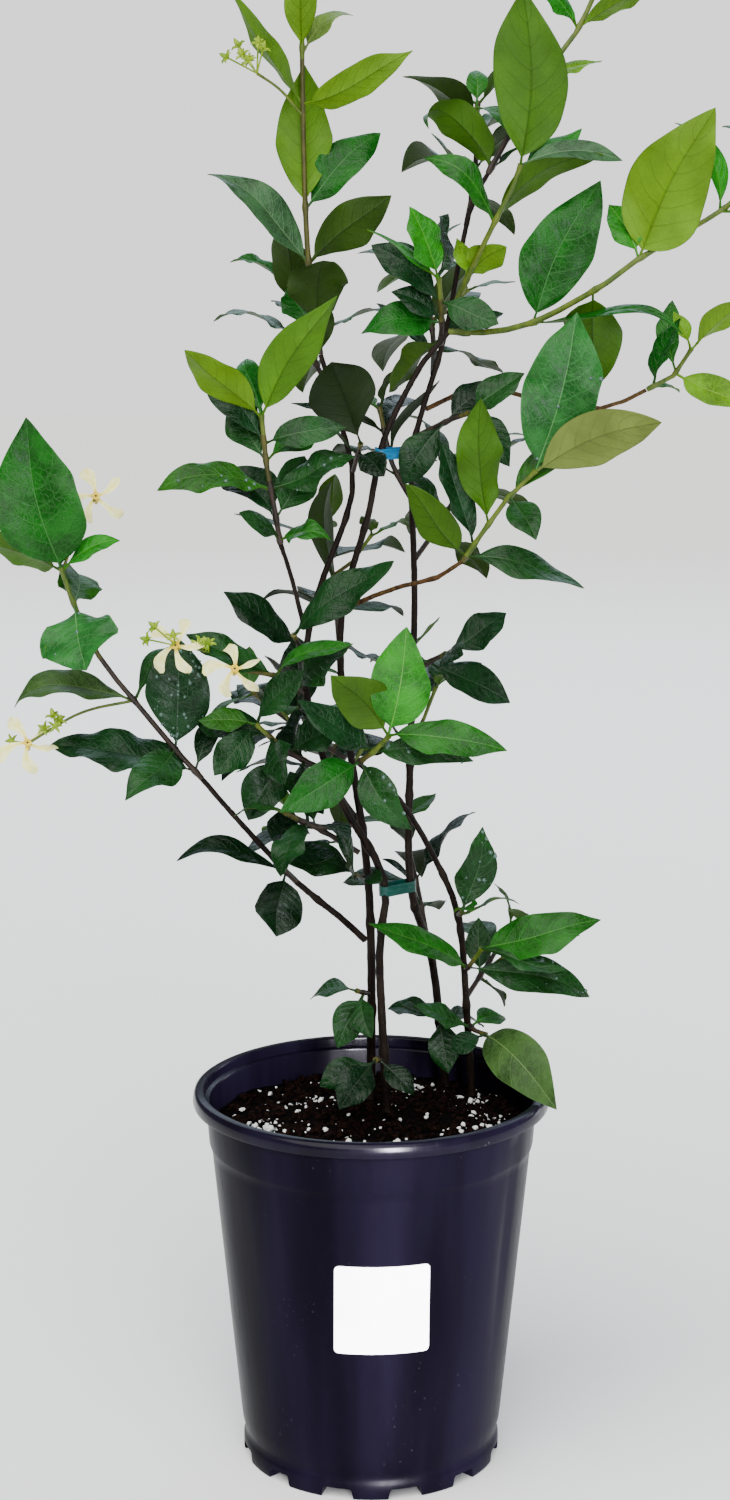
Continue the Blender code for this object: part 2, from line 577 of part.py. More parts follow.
def bud_solid(start, end):
    """A slim closed bud on its own stalk, from the fork to the tip of the bud."""
    ahead = (end - start).normalized()
    side = ahead.orthogonal().normalized()
    other = ahead.cross(side)
    rings = []
    for back, radius in (((end - start).length, BUD_STALK_RADIUS), (BUD_LENGTH, BUD_STALK_RADIUS),
                         (0.35 * BUD_LENGTH, BUD_RADIUS), (0.0, BUD_STALK_RADIUS / 2)):
        rings.append([end - back * ahead + radius * (math.cos(turn) * side + math.sin(turn) * other)
                      for turn in (math.tau * k / TWIG_SIDES for k in range(TWIG_SIDES))])
    return loft(rings)


class Space:
    """Everything placed so far, so that no leaf or twig runs into another."""

    def __init__(self):
        self.things = []

    def add(self, solid, owner):
        points, faces = solid
        centre = sum(points, Vector()) / len(points)
        reach = max((point - centre).length for point in points)
        self.things.append((centre, reach, BVHTree.FromPolygons(points, faces), owner))

    def touched(self, solid):
        """The owners of the things that a solid runs into."""
        points, faces = solid
        centre = sum(points, Vector()) / len(points)
        reach = max((point - centre).length for point in points)
        tree = BVHTree.FromPolygons(points, faces)
        return {owner for middle, size, shape, owner in self.things
                if (middle - centre).length < reach + size and tree.overlap(shape)}


def tries(shape):
    """A leaf as measured, then the same leaf turned and shortened a little."""
    yield shape
    for shrink in (1.0, 0.85, 0.7):
        for turn, lift in ((10, 0), (-10, 0), (0, 10), (0, -10), (22, 8), (-22, 8), (22, -12),
                           (-22, -12), (38, 0), (-38, 0)):
            yield dict(shape, heading=shape["heading"] + turn, rise=shape["rise"] + lift,
                       length=shape["length"] * shrink, width=shape["width"] * shrink)


class Spray:
    """One mass of foliage: a twig with side twigs, leaves and blossom in a space of its own."""

    def __init__(self, name, spec, limbs, space):
        self.name = name
        self.spec = spec
        self.space = space
        self.random = random.Random(spec["seed"])
        girth = spec.get("girth", TWIG_GIRTH)
        self.twig = grown_from(spec, limbs, girth, TWIG_SIDES, TWIG_STEP)
        self.centre, _ = self.twig.route.place(0.5)
        self.reach = self.twig.route.length / 2 + SPREAD_LIMIT
        self.solids = [self.twig.solid()]
        space.add(self.solids[0], name)

    def fits(self, whole, outer):
        """Whether a solid stays in the spray's reach, clear of others and of its own neighbours.

        The foot of a leaf may crowd the leaves beside it, so only its outer part is held clear of
        the spray that it belongs to.
        """
        inside = all((point - self.centre).length < self.reach for point in whole[0])
        return (inside and not self.space.touched(whole) - {self.name}
                and self.name not in self.space.touched(outer))

    def add_leaf(self, base, shape):
        """Place a leaf, or leave it out where there is no room for it."""
        for candidate in tries(shape):
            ahead = direction(candidate["heading"], candidate["rise"])
            upper = facing(candidate["heading"], candidate["rise"], candidate["face"])
            whole = leaf_solid(base, ahead, upper, candidate, LEAF_CLEARANCE)
            outer = leaf_solid(base, ahead, upper, candidate, LEAF_CLEARANCE, CROWDED_SHARE)
            if self.fits(whole, outer):
                self.solids.append(leaf_solid(base, ahead, upper, candidate))
                self.space.add(self.solids[-1], self.name)
                return

    def measured_nodes(self):
        for fraction, leaves in self.spec["nodes"]:
            base, _ = self.twig.route.place(fraction * TWIG_LAST_PAIR)
            for index, shape in enumerate(leaves):
                self.add_leaf(base + PAIR_STAGGER * index * UP, shape)

    def habit_nodes(self, route, pairs, size, turn, first):
        """Opposite pairs, each turned a quarter from the one below."""
        for index in range(pairs):
            fraction = first + (TWIG_LAST_PAIR - first) * index / max(1, pairs - 1)
            base, ahead = route.place(fraction)
            across = ahead.cross(UP)
            across = across.normalized() if across.length > 0.1 else Vector((1, 0, 0))
            angle = math.radians(turn + 90 * index + self.random.uniform(-14, 14))
            outward = across * math.cos(angle) + ahead.cross(across) * math.sin(angle)
            for way in (outward, -outward):
                splay = math.radians(self.random.uniform(48, 72))
                line = ahead * math.cos(splay) + way * math.sin(splay) - 0.12 * UP
                line.normalize()
                share = 1 - 0.35 * abs(2 * index / max(1, pairs - 1) - 0.9) ** 2
                length = size * share * self.random.uniform(0.88, 1.08)
                self.add_leaf(base, {
                    "heading": math.degrees(math.atan2(line.y, line.x)),
                    "rise": math.degrees(math.asin(line.z)), "length": length,
                    "width": length * self.random.uniform(0.36, 0.46),
                    "face": self.random.uniform(-15, 15), "bend": self.random.uniform(15, 50),
                    "age": "old" if index < pairs - 1 else "grown"})

    def side_twigs(self, nodes, chance, length):
        """Short twigs from the leaf axils, with one small pair at the tip."""
        for fraction in nodes:
            if self.random.random() > chance:
                continue
            base, ahead = self.twig.route.place(fraction)
            way = direction(self.random.uniform(0, 360), self.random.uniform(0, 50))
            line = (ahead * 0.6 + way).normalized()
            reach = length * self.random.uniform(0.8, 1.2)
            route = Route([base - SINK * line, base + 0.5 * reach * line,
                           base + reach * (line + 0.25 * UP)], step=20)
            twig = Limb(route, (1.0, 0.9), TWIG_SIDES)
            outer = Route([base + 3 * line, base + 0.5 * reach * line,
                           base + reach * (line + 0.25 * UP)], step=20)
            test = Limb(outer, (1.2, 1.1), TWIG_SIDES).solid()
            if not self.fits(test, test):
                continue
            self.solids.append(twig.solid())
            self.space.add(test, self.name)
            self.habit_nodes(route, 1, length * 1.6, self.random.uniform(0, 180), TWIG_LAST_PAIR)

    def add_blossom(self, spec):
        """A stalk that splits into open flowers and buds."""
        chance = random.Random(spec["seed"])
        start, _ = self.twig.route.place(spec["at"] * TWIG_LAST_PAIR)
        end = Vector(spec["to"])
        sag = Vector((0, 0, 0.08 * (end - start).length))
        route = Route([start, (start + end) / 2 + sag, end], step=14)
        outer = Route([start + 0.25 * (end - start), end], step=30)
        test = Limb(outer, (1.0, 1.0), TWIG_SIDES).solid()
        if self.space.touched(test) - {self.name}:
            return
        self.solids.append(Limb(route, (STALK_RADIUS, STALK_RADIUS), TWIG_SIDES).solid())
        self.space.add(test, self.name)
        onward = (end - start).normalized()
        for index in range(spec["open"]):
            centre = end + index * 12 * direction(chance.uniform(0, 360), 20)
            axis = direction(chance.uniform(255, 285), chance.uniform(20, 40))
            flower = flower_solid(centre + 0.4 * axis, axis)
            if not self.space.touched(flower) - {self.name}:
                self.solids.append(flower)
                self.space.add(flower, self.name)
        for index in range(spec["buds"]):
            line = (onward + 0.9 * direction(chance.uniform(0, 360), chance.uniform(-30, 70)))
            line.normalize()
            tip = end + chance.uniform(*BUD_STALK) * line + BUD_LENGTH / 2 * line
            if not self.space.touched(bud_solid(end + 3 * line, tip)):
                self.solids.append(bud_solid(end - 0.5 * line, tip))

    def grow(self):
        if "nodes" in self.spec:
            self.measured_nodes()
            for spec in self.spec.get("blossom", []):
                self.add_blossom(spec)
            self.side_twigs([node for node, _ in self.spec["nodes"]], *AXIL_TWIGS)
        else:
            self.habit_nodes(self.twig.route, self.spec["pairs"], self.spec["leaf"],
                             self.spec["turn"], BACK_FIRST_PAIR)
            self.side_twigs(BACK_AXILS, *BACK_AXIL_TWIGS)


def material(name, colour, roughness, metallic=0.0):
    made = bpy.data.materials.new(name)
    made.use_nodes = True
    shader = made.node_tree.nodes["Principled BSDF"]
    shader.inputs["Base Color"].default_value = (*colour, 1.0)
    shader.inputs["Roughness"].default_value = roughness
    shader.inputs["Metallic"].default_value = metallic
    return made


def mesh_object(name, solid, finish=None):
    """An object from points in millimetres, with its faces turned outwards."""
    points, faces = solid
    mesh = bpy.data.meshes.new(name)
    mesh.from_pydata([tuple(point * MM) for point in points], [], faces)
    shape = bmesh.new()
    shape.from_mesh(mesh)
    bmesh.ops.recalc_face_normals(shape, faces=shape.faces)
    shape.to_mesh(mesh)
    shape.free()
    thing = bpy.data.objects.new(name, mesh)
    bpy.context.scene.collection.objects.link(thing)
    if finish:
        mesh.materials.append(finish)
    return thing


def evaluated_mesh(thing):
    """The mesh that an object's modifiers make."""
    graph = bpy.context.evaluated_depsgraph_get()
    return bpy.data.meshes.new_from_object(thing.evaluated_get(graph))


def keep_largest_shell(mesh):
    """Drop loose scraps and fill sealed hollows. Return whether the shell is closed."""
    shape = bmesh.new()
    shape.from_mesh(mesh)
    bmesh.ops.remove_doubles(shape, verts=shape.verts, dist=WELD * MM)
    unseen = set(shape.faces)
    shells = []
    while unseen:
        shell, front = set(), [unseen.pop()]
        while front:
            face = front.pop()
            shell.add(face)
            for edge in face.edges:
                for other in edge.link_faces:
                    if other in unseen:
                        unseen.discard(other)
                        front.append(other)
        shells.append(shell)
    shells.sort(key=len)
    for shell in shells[:-1]:
        bmesh.ops.delete(shape, geom=list(shell), context="FACES")
    closed = len(shape.faces) > 0 and all(edge.is_manifold for edge in shape.edges)
    closed = closed and all(vert.is_manifold for vert in shape.verts)
    shape.to_mesh(mesh)
    shape.free()
    return closed


def joined(name, solids, finish):
    """One closed object from overlapping solids, by a Boolean union on a collection."""
    while True:
        for solver in ("EXACT", "MANIFOLD"):
            group = bpy.data.collections.new(name + "_pieces")
            pieces = [mesh_object(name + "_piece", solid) for solid in solids[1:]]
            for piece in pieces:
                bpy.context.scene.collection.objects.unlink(piece)
                group.objects.link(piece)
            thing = mesh_object(name, solids[0])
            union = thing.modifiers.new("union", "BOOLEAN")
            union.operation = "UNION"
            union.operand_type = "COLLECTION"
            union.collection = group
            union.solver = solver
            mesh = evaluated_mesh(thing)
            for piece in pieces:
                bpy.data.objects.remove(piece)
            bpy.data.collections.remove(group)
            bpy.data.objects.remove(thing)
            if keep_largest_shell(mesh):
                mesh.name = name
                mesh.materials.clear()
                mesh.materials.append(finish)
                thing = bpy.data.objects.new(name, mesh)
                bpy.context.scene.collection.objects.link(thing)
                return thing
        solids = solids[:-1]


def wall_radius(height):
    """The outer radius of the pot's body between its foot ring and its shoulder."""
    low = FOOT_RING_HEIGHT + 14
    high = POT_HEIGHT - LIP_HEIGHT - SHOULDER_HEIGHT
    share = (height - low) / (high - low)
    return BODY_FOOT_RADIUS + (BODY_TOP_RADIUS - BODY_FOOT_RADIUS) * share


def pot_profile():
    """Radius and height round the section of the pot, from the underside outwards and up."""
    lip_foot = POT_HEIGHT - LIP_HEIGHT
    shoulder = lip_foot - SHOULDER_HEIGHT
    outside = [
        (FOOT_RING_RADIUS - 1, 0), (FOOT_RING_RADIUS, 1.2), (FOOT_RING_RADIUS, FOOT_RING_HEIGHT),
        (FOOT_RING_RADIUS - 1.2, FOOT_RING_HEIGHT + 2),
        (wall_radius(FOOT_RING_HEIGHT + 14), FOOT_RING_HEIGHT + 14),
        (wall_radius(shoulder - 4), shoulder - 4), (SHOULDER_RADIUS - 0.6, shoulder + 3),
        (SHOULDER_RADIUS, lip_foot), (RIM_RADIUS - 1.5, lip_foot + 0.6),
        (RIM_RADIUS, lip_foot + 2.5), (RIM_RADIUS - 0.4, POT_HEIGHT - 2),
        (RIM_RADIUS - 2.2, POT_HEIGHT)]
    inside = [
        (SHOULDER_RADIUS + 1.6, POT_HEIGHT), (SHOULDER_RADIUS + 0.8, POT_HEIGHT - 1.2),
        (SHOULDER_RADIUS + 0.5, lip_foot + 3.2), (SHOULDER_RADIUS - WALL, lip_foot + 2.2),
        (SHOULDER_RADIUS - 0.6 - WALL, shoulder + 3), (wall_radius(shoulder - 4) - WALL, shoulder - 4),
        (wall_radius(FOOT_RING_HEIGHT + 14) - WALL, FOOT_RING_HEIGHT + 14),
        (FOOT_RING_RADIUS - 3.6, FLOOR)]
    return outside, inside


def turned(profile, name, finish):
    """A body of revolution from a profile whose two ends lie on the axis."""
    shape = bmesh.new()
    verts = [shape.verts.new((radius * MM, 0, height * MM)) for radius, height in profile]
    edges = [shape.edges.new(pair) for pair in zip(verts, verts[1:])]
    bmesh.ops.spin(shape, geom=verts + edges, cent=(0, 0, 0), axis=(0, 0, 1), dvec=(0, 0, 0),
                   angle=math.tau, steps=POT_SIDES, use_merge=True, use_duplicate=False)
    bmesh.ops.remove_doubles(shape, verts=shape.verts, dist=1e-6)
    bmesh.ops.recalc_face_normals(shape, faces=shape.faces)
    mesh = bpy.data.meshes.new(name)
    shape.to_mesh(mesh)
    shape.free()
    mesh.materials.append(finish)
    thing = bpy.data.objects.new(name, mesh)
    bpy.context.scene.collection.objects.link(thing)
    return thing


def notch_cutter(index):
    """A wedge that opens one drain notch through the foot ring and the edge of the floor."""
    middle = math.tau * (index + 0.5) / DRAIN_NOTCHES
    half = NOTCH_WIDTH / 2
    out, across = direction(math.degrees(middle), 0), direction(math.degrees(middle) + 90, 0)
    low, high = -1.0, NOTCH_HEIGHT
    rings = [[NOTCH_REACH * out - half * across, NOTCH_REACH * out + half * across,
              (FOOT_RING_RADIUS + 6) * out + half * across,
              (FOOT_RING_RADIUS + 6) * out - half * across]]
    rings = [[point + height * UP for point in rings[0]] for height in (low, high)]
    return loft(rings)


def build_pot(finish):
    """The pot, open at the top, with drain notches round its foot."""
    outside, inside = pot_profile()
    pot = turned([(0, 0)] + outside + inside + [(0, FLOOR)], "pot", finish)
    group = bpy.data.collections.new("notch_cutters")
    cutters = [mesh_object("notch_cutter", notch_cutter(index)) for index in range(DRAIN_NOTCHES)]
    for cutter in cutters:
        bpy.context.scene.collection.objects.unlink(cutter)
        group.objects.link(cutter)
    cut = pot.modifiers.new("notches", "BOOLEAN")
    cut.operation = "DIFFERENCE"
    cut.operand_type = "COLLECTION"
    cut.collection = group
    cut.solver = "EXACT"
    mesh = evaluated_mesh(pot)
    pot.modifiers.clear()
    pot.data = mesh
    mesh.name = "pot"
    for cutter in cutters:
        bpy.data.objects.remove(cutter)
    bpy.data.collections.remove(group)
    mesh.shade_smooth()
    mesh.set_sharp_from_angle(angle=math.radians(35))


def soil_profile():
    """The compost, clear of the pot's wall and floor."""
    _, inside = pot_profile()
    shoulder = POT_HEIGHT - LIP_HEIGHT - SHOULDER_HEIGHT + 3
    wall = [(radius - GAP - 0.1, max(height, FLOOR + GAP)) for radius, height in inside
            if height <= shoulder]
    return [(0, SOIL_LEVEL), (SHOULDER_RADIUS - 0.7 - WALL - GAP, SOIL_LEVEL)] + wall + [
        (0, FLOOR + GAP)]


def build_label(finish):
    """A blank stiff label with round corners, bent round the front of the pot."""
    half = LABEL_SIDE / 2
    corner = half - LABEL_CORNER
    outline = []
    for quarter, (x, z) in enumerate(((1, 1), (-1, 1), (-1, -1), (1, -1))):
        for step in range(4):
            turn = math.radians(90 * quarter + 30 * step)
            outline.append((x * corner + LABEL_CORNER * math.cos(turn),
                            z * corner + LABEL_CORNER * math.sin(turn)))
    columns = 8

    def bent(x, z, depth):
        height = LABEL_HEIGHT + z
        radius = wall_radius(height) + GAP + 0.05 + depth
        turn = math.radians(LABEL_TURN) + x / wall_radius(LABEL_HEIGHT)
        return Vector((radius * math.cos(turn), radius * math.sin(turn), height))

    def edge_height(x):
        inset = max(0.0, abs(x) - corner)
        return corner + math.sqrt(max(0.0, LABEL_CORNER ** 2 - inset ** 2))

    xs = sorted({round(x, 3) for x, _ in outline} | {-corner + 2 * corner * k / columns
                                                      for k in range(columns + 1)})
    rings = []
    for x in xs:
        top = max(edge_height(x), corner)
        rings.append([bent(x, -top, 0), bent(x, top, 0), bent(x, top, LABEL_THICKNESS),
                      bent(x, -top, LABEL_THICKNESS)])
    mesh_object("label", loft(rings), finish)


def build_tie(name, height, first, second, finish):
    """A flat band drawn round two stems, following their lean."""
    arc = 6

    def ring(level, extra):
        centres = []
        for limb in (first, second):
            fraction = limb.route.fraction_at(level)
            point, ahead = limb.route.place(fraction)
            slant = 1 / max(0.5, ahead.z)
            centres.append((point, limb.radius(fraction) * slant + TIE_CLEARANCE + extra))
        (a, radius_a), (b, radius_b) = centres
        along = math.atan2(b.y - a.y, b.x - a.x)
        points = []
        for centre, radius, start in ((a, radius_a, along + math.pi / 2),
                                      (b, radius_b, along - math.pi / 2)):
            for k in range(arc + 1):
                turn = start + math.pi * k / arc
                points.append(Vector((centre.x + radius * math.cos(turn),
                                      centre.y + radius * math.sin(turn), level)))
        return points

    low, high = height - TIE_WIDTH / 2, height + TIE_WIDTH / 2
    loops = [ring(low, 0), ring(low, TIE_THICKNESS), ring(high, TIE_THICKNESS), ring(high, 0)]
    count = len(loops[0])
    points = [point for loop in loops for point in loop]
    faces = []
    for k in range(count):
        follow = (k + 1) % count
        for loop in range(4):
            onward = (loop + 1) % 4
            faces.append((loop * count + k, loop * count + follow,
                          onward * count + follow, onward * count + k))
    solid = points, faces
    mesh_object(name, solid, finish)
    return solid


def points_and_faces(thing):
    """A finished object's points in millimetres and its faces."""
    mesh = thing.data
    return ([vert.co / MM for vert in mesh.vertices],
            [tuple(face.vertices) for face in mesh.polygons])


def build():
    for thing in list(bpy.data.objects):
        bpy.data.objects.remove(thing)

    plastic = material("pot_plastic", (0.012, 0.012, 0.022), 0.38)
    compost = material("bark_compost", (0.022, 0.014, 0.010), 0.95)
    paper = material("label_paper", (0.86, 0.86, 0.82), 0.45)
    blue = material("tie_blue", (0.03, 0.22, 0.42), 0.5)
    green = material("tie_green", (0.01, 0.22, 0.16), 0.5)
    bark = material("bark", (0.055, 0.030, 0.022), 0.7)
    foliage = material("foliage", (0.035, 0.13, 0.030), 0.35)

    build_pot(plastic)
    turned(soil_profile(), "soil", compost)
    build_label(paper)

    limbs, space = {}, Space()
    for name in ("pot", "soil", "label"):
        space.add(points_and_faces(bpy.data.objects[name]), name)

    for name, spec in STEMS.items():
        route = [(x, y, z + GAP if index == 0 else z)
                 for index, (x, y, z) in enumerate(spec["route"])]
        limbs[name] = Limb(Route(route, STEM_STEP), spec["girth"], STEM_SIDES, UP)
        solid = limbs[name].solid(STEM_FLARE)
        mesh_object(name, solid, bark)
        space.add(solid, name)

    for name, spec in BOUGHS.items():
        limbs[name] = grown_from(spec, limbs, spec["girth"], STEM_SIDES, BOUGH_STEP)
        solid = limbs[name].solid()
        mesh_object(name, solid, bark)
        space.add(solid, name)

    space.add(build_tie("tie_low", TIE_LOW, limbs["stem_middle"], limbs["stem_back"], green), "tie_low")
    space.add(build_tie("tie_high", TIE_HIGH, limbs["stem_left"], limbs["stem_back"], blue), "tie_high")

    sprays = [Spray(name, spec, limbs, space) for name, spec in {**SPRAYS, **BACK_SPRAYS}.items()]
    for spray in sprays:
        spray.grow()
    for spray in sprays:
        joined(spray.name, spray.solids, foliage)


build()
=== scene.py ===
"""Looks of the star jasmine in a nursery pot.

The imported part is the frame. Its stems, boughs and leafy sprays are grown here again by the same
rule from the same sizes, so that every leaf lies where its solid does, and are then given their
fine shape: thin wavy leaves with a midrib, round twigs, pinwheel flowers and buds. The pot, the
compost, the label and the two bands are modelled in place of their plain solids.

The growing sizes are in millimetres and degrees. The scene is in metres, +Z up, with the origin at
the centre of the pot's flat underside. A heading is 0 towards +X and 90 towards +Y.
"""

import math
import random
from functools import partial

import bmesh
import bpy
import numpy as np
from mathutils import Matrix, Vector, noise
from mathutils.bvhtree import BVHTree

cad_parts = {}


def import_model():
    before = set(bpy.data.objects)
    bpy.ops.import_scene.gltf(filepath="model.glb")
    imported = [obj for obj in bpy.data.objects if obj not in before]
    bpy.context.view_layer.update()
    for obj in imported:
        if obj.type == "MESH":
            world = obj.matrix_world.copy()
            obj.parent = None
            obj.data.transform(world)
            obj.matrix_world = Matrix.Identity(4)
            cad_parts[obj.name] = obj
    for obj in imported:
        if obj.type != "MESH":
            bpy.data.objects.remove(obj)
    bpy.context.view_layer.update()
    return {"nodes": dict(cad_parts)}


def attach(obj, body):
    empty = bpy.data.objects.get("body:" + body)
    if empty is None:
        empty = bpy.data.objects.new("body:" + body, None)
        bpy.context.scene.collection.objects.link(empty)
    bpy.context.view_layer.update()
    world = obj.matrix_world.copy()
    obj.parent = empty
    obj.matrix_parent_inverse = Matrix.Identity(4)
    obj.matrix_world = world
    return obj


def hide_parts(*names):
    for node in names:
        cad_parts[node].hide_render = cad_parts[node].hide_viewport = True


MM = 0.001
UP = Vector((0, 0, 1))

# Clearance between neighbouring solids
GAP = 0.3

# Pot
POT_HEIGHT = 186.0
RIM_RADIUS = 87.0
LIP_HEIGHT = 8.0
SHOULDER_RADIUS = 80.5
SHOULDER_HEIGHT = 20.0
BODY_TOP_RADIUS = 78.0
BODY_FOOT_RADIUS = 64.5
FOOT_RING_RADIUS = 63.5
FOOT_RING_HEIGHT = 8.0
WALL = 2.0
FLOOR = 3.0
DRAIN_NOTCHES = 12
NOTCH_WIDTH = 18.0
NOTCH_HEIGHT = 5.5
NOTCH_REACH = 52.0
NOTCH_SHARES = (1.12, 0.94, 1.05)
NOTCH_TAPER = 0.72
POT_STEPS = 120

# Compost: its level, its edge inside the shoulder, and the rings and steps of its surface
SOIL_LEVEL = 168.0
SOIL_EDGE = SHOULDER_RADIUS - 0.7 - WALL - GAP
SOIL_RINGS = 36
SOIL_STEPS = 110

# Label stuck to the front of the pot, left blank
LABEL_SIDE = 45.0
LABEL_CORNER = 4.0
LABEL_THICKNESS = 0.4
LABEL_HEIGHT = 100.0
LABEL_TURN = 274.0
LABEL_STRIPS = 16

# Bands round the stems: heights of their middles, width, clearance from a stem and thickness.
# Each lap has its tilt and how far it lies outside the first
TIE_LOW = 284.0
TIE_HIGH = 493.0
TIE_WIDTH = 6.0
TIE_CLEARANCE = 0.4
TIE_SHEET = 0.35
TIE_LAPS = ((0.07, 0.0), (-0.11, 0.5))
TIE_STEPS = 44

# Leaves: thickness by age, fold, and the places of a blade's sections from a least length on
LEAF_THICKNESS = {"old": 1.1, "grown": 1.0, "young": 0.9, "tender": 0.9}
FOLD = 16.0
LEAF_SECTIONS = ((46.0, (0.22, 0.50, 0.80)), (27.0, (0.28, 0.66)), (0.0, (0.42,)))
BLADE_SHIFT = 0.78
BLADE_FULLNESS = 0.85
FOOT = 0.45
SINK = 0.25

# Room for a leaf: the share at its foot that its own spray may crowd, and its clearance
CROWDED_SHARE = 0.22
LEAF_CLEARANCE = 0.5
PAIR_STAGGER = 0.35

# A leaf without room is tried again turned and lifted, at each of these shares of its size
SHRINKS = (1.0, 0.85, 0.7)
TURNS = ((10, 0), (-10, 0), (0, 10), (0, -10), (22, 8), (-22, 8), (22, -12), (-22, -12), (38, 0),
         (-38, 0))

# Blossom
FLOWER_RADIUS = 13.0
FLOWER_THROAT = 3.6
PETALS = 5
PETAL_THICKNESS = 0.9
BUD_LENGTH = 7.0
BUD_RADIUS = 1.3
BUD_STALK = (7.0, 17.0)
BUD_STALK_RADIUS = 0.55

# Limbs and twigs
TWIG_SIDES = 3
TWIG_STEP = 14.0
TWIG_GIRTH = (1.4, 1.1)
TWIG_LAST_PAIR = 0.985
STEM_SIDES = 5
STEM_STEP = 14.0
STEM_FLARE = 1.35
BOUGH_STEP = 12.0
SHORTEST_STEP = 3.5
TRIM_STEP = 0.002
MOST_TRIMMED = 0.9

# Short twigs in the leaf axils: chance of one at each place, and length
AXIL_TWIGS = (0.12, 14.0)
BACK_AXIL_TWIGS = (0.5, 24.0)
BACK_AXILS = (0.35, 0.6)
BACK_FIRST_PAIR = 0.3

# Pairs by habit: sway from a quarter turn, splay from the twig, droop, each leaf's length as a
# share of its size and width as a share of its length, and its face and bend
PAIR_SWAY = (-14, 14)
PAIR_SPLAY = (48, 72)
PAIR_DROOP = 0.12
HABIT_LENGTH = (0.88, 1.08)
HABIT_WIDTH = (0.36, 0.46)
HABIT_FACE = (-15, 15)
HABIT_BEND = (15, 50)

# How far a spray may reach from the middle of its twig, beyond half the twig's length
SPREAD_LIMIT = 95.0


def leaf(heading, rise, length, width, face, bend, age="grown"):
    """One measured leaf. Its face is 0 with the upper side up, 90 turned to the front."""
    return {"heading": heading, "rise": rise, "length": length, "width": width,
            "face": face, "bend": bend, "age": age}


def blossom(at, to, open_flowers, buds, seed):
    """A flower stalk from a place on the twig to a point, with its flowers and buds."""
    return {"at": at, "to": to, "open": open_flowers, "buds": buds, "seed": seed}


def measured(limb, at, girth, seed, route, *nodes, flowers=()):
    """A twig from a limb's side at a height, or from its tip. A node is a place and its leaves."""
    return {"limb": limb, "at": at, "girth": girth, "seed": seed, "route": route,
            "nodes": [(place, leaves) for place, *leaves in nodes], "blossom": flowers}


def habit(limb, at, seed, leaf_length, turn, route, pairs=4):
    """A twig with opposite pairs, the first of them turned by so many degrees."""
    return {"limb": limb, "at": at, "seed": seed, "leaf": leaf_length, "turn": turn,
            "route": route, "pairs": pairs}


# Leaves of the other ages than grown
old, young, tender = (partial(leaf, age=age) for age in ("old", "young", "tender"))


# Stems, from the compost up, as a few points that a smooth line runs through
STEMS = {
    "stem_left": {
        "route": [(0, 30, SOIL_LEVEL), (0, 25, 250), (-3, 20, 300), (-13, 12, 372),
                  (-14, 10, 417), (-1, 6, 466), (6, 7, 500), (24, 12, 535), (36, 13, 549)],
        "girth": (2.3, 1.3)},
    "stem_middle": {
        "route": [(8, 10, SOIL_LEVEL), (4, 4, 250), (6, 0, 290), (-17, -12, 336),
                  (-31, -8, 385), (-26, -2, 425), (-9, 14, 474), (-15, 22, 508), (-24, 28, 538)],
        "girth": (2.2, 1.2)},
    "stem_right": {
        "route": [(51, 40, SOIL_LEVEL), (48, 32, 210), (43, 17, 265), (31, 5, 298),
                  (13, -14, 332), (-6, -29, 352)],
        "girth": (2.0, 1.2)},
    "stem_back": {
        "route": [(38, 54, SOIL_LEVEL), (31, 46, 235), (19, 12, 284), (19, 30, 340),
                  (21, 34, 420), (19, 18, 482), (22, 20, 505), (35, 27, 548), (46, 38, 603),
                  (55, 42, 622)],
        "girth": (2.2, 1.1)},
}

# Boughs: the stem that each one leaves, the height where it does, and its route
BOUGHS = {
    "bough_low_left": {
        "limb": "stem_left", "at": 250, "girth": (1.7, 1.2),
        "route": [(-16, 14, 268), (-36, 5, 287), (-62, -5, 318), (-80, -11, 341)]},
    "bough_mid_left": {
        "limb": "stem_middle", "at": 406, "girth": (1.2, 1.0),
        "route": [(-37, -12, 436), (-42, -18, 453)]},
    "bough_mid_right": {
        "limb": "stem_left", "at": 419, "girth": (1.2, 1.0),
        "route": [(2, 0, 427), (14, -6, 432), (31, -12, 437), (42, -18, 445)]},
    "bough_far_right": {
        "limb": "stem_back", "at": 512, "girth": (1.2, 1.0),
        "route": [(52, 46, 522), (78, 58, 516), (112, 62, 511), (134, 60, 520)]},
}

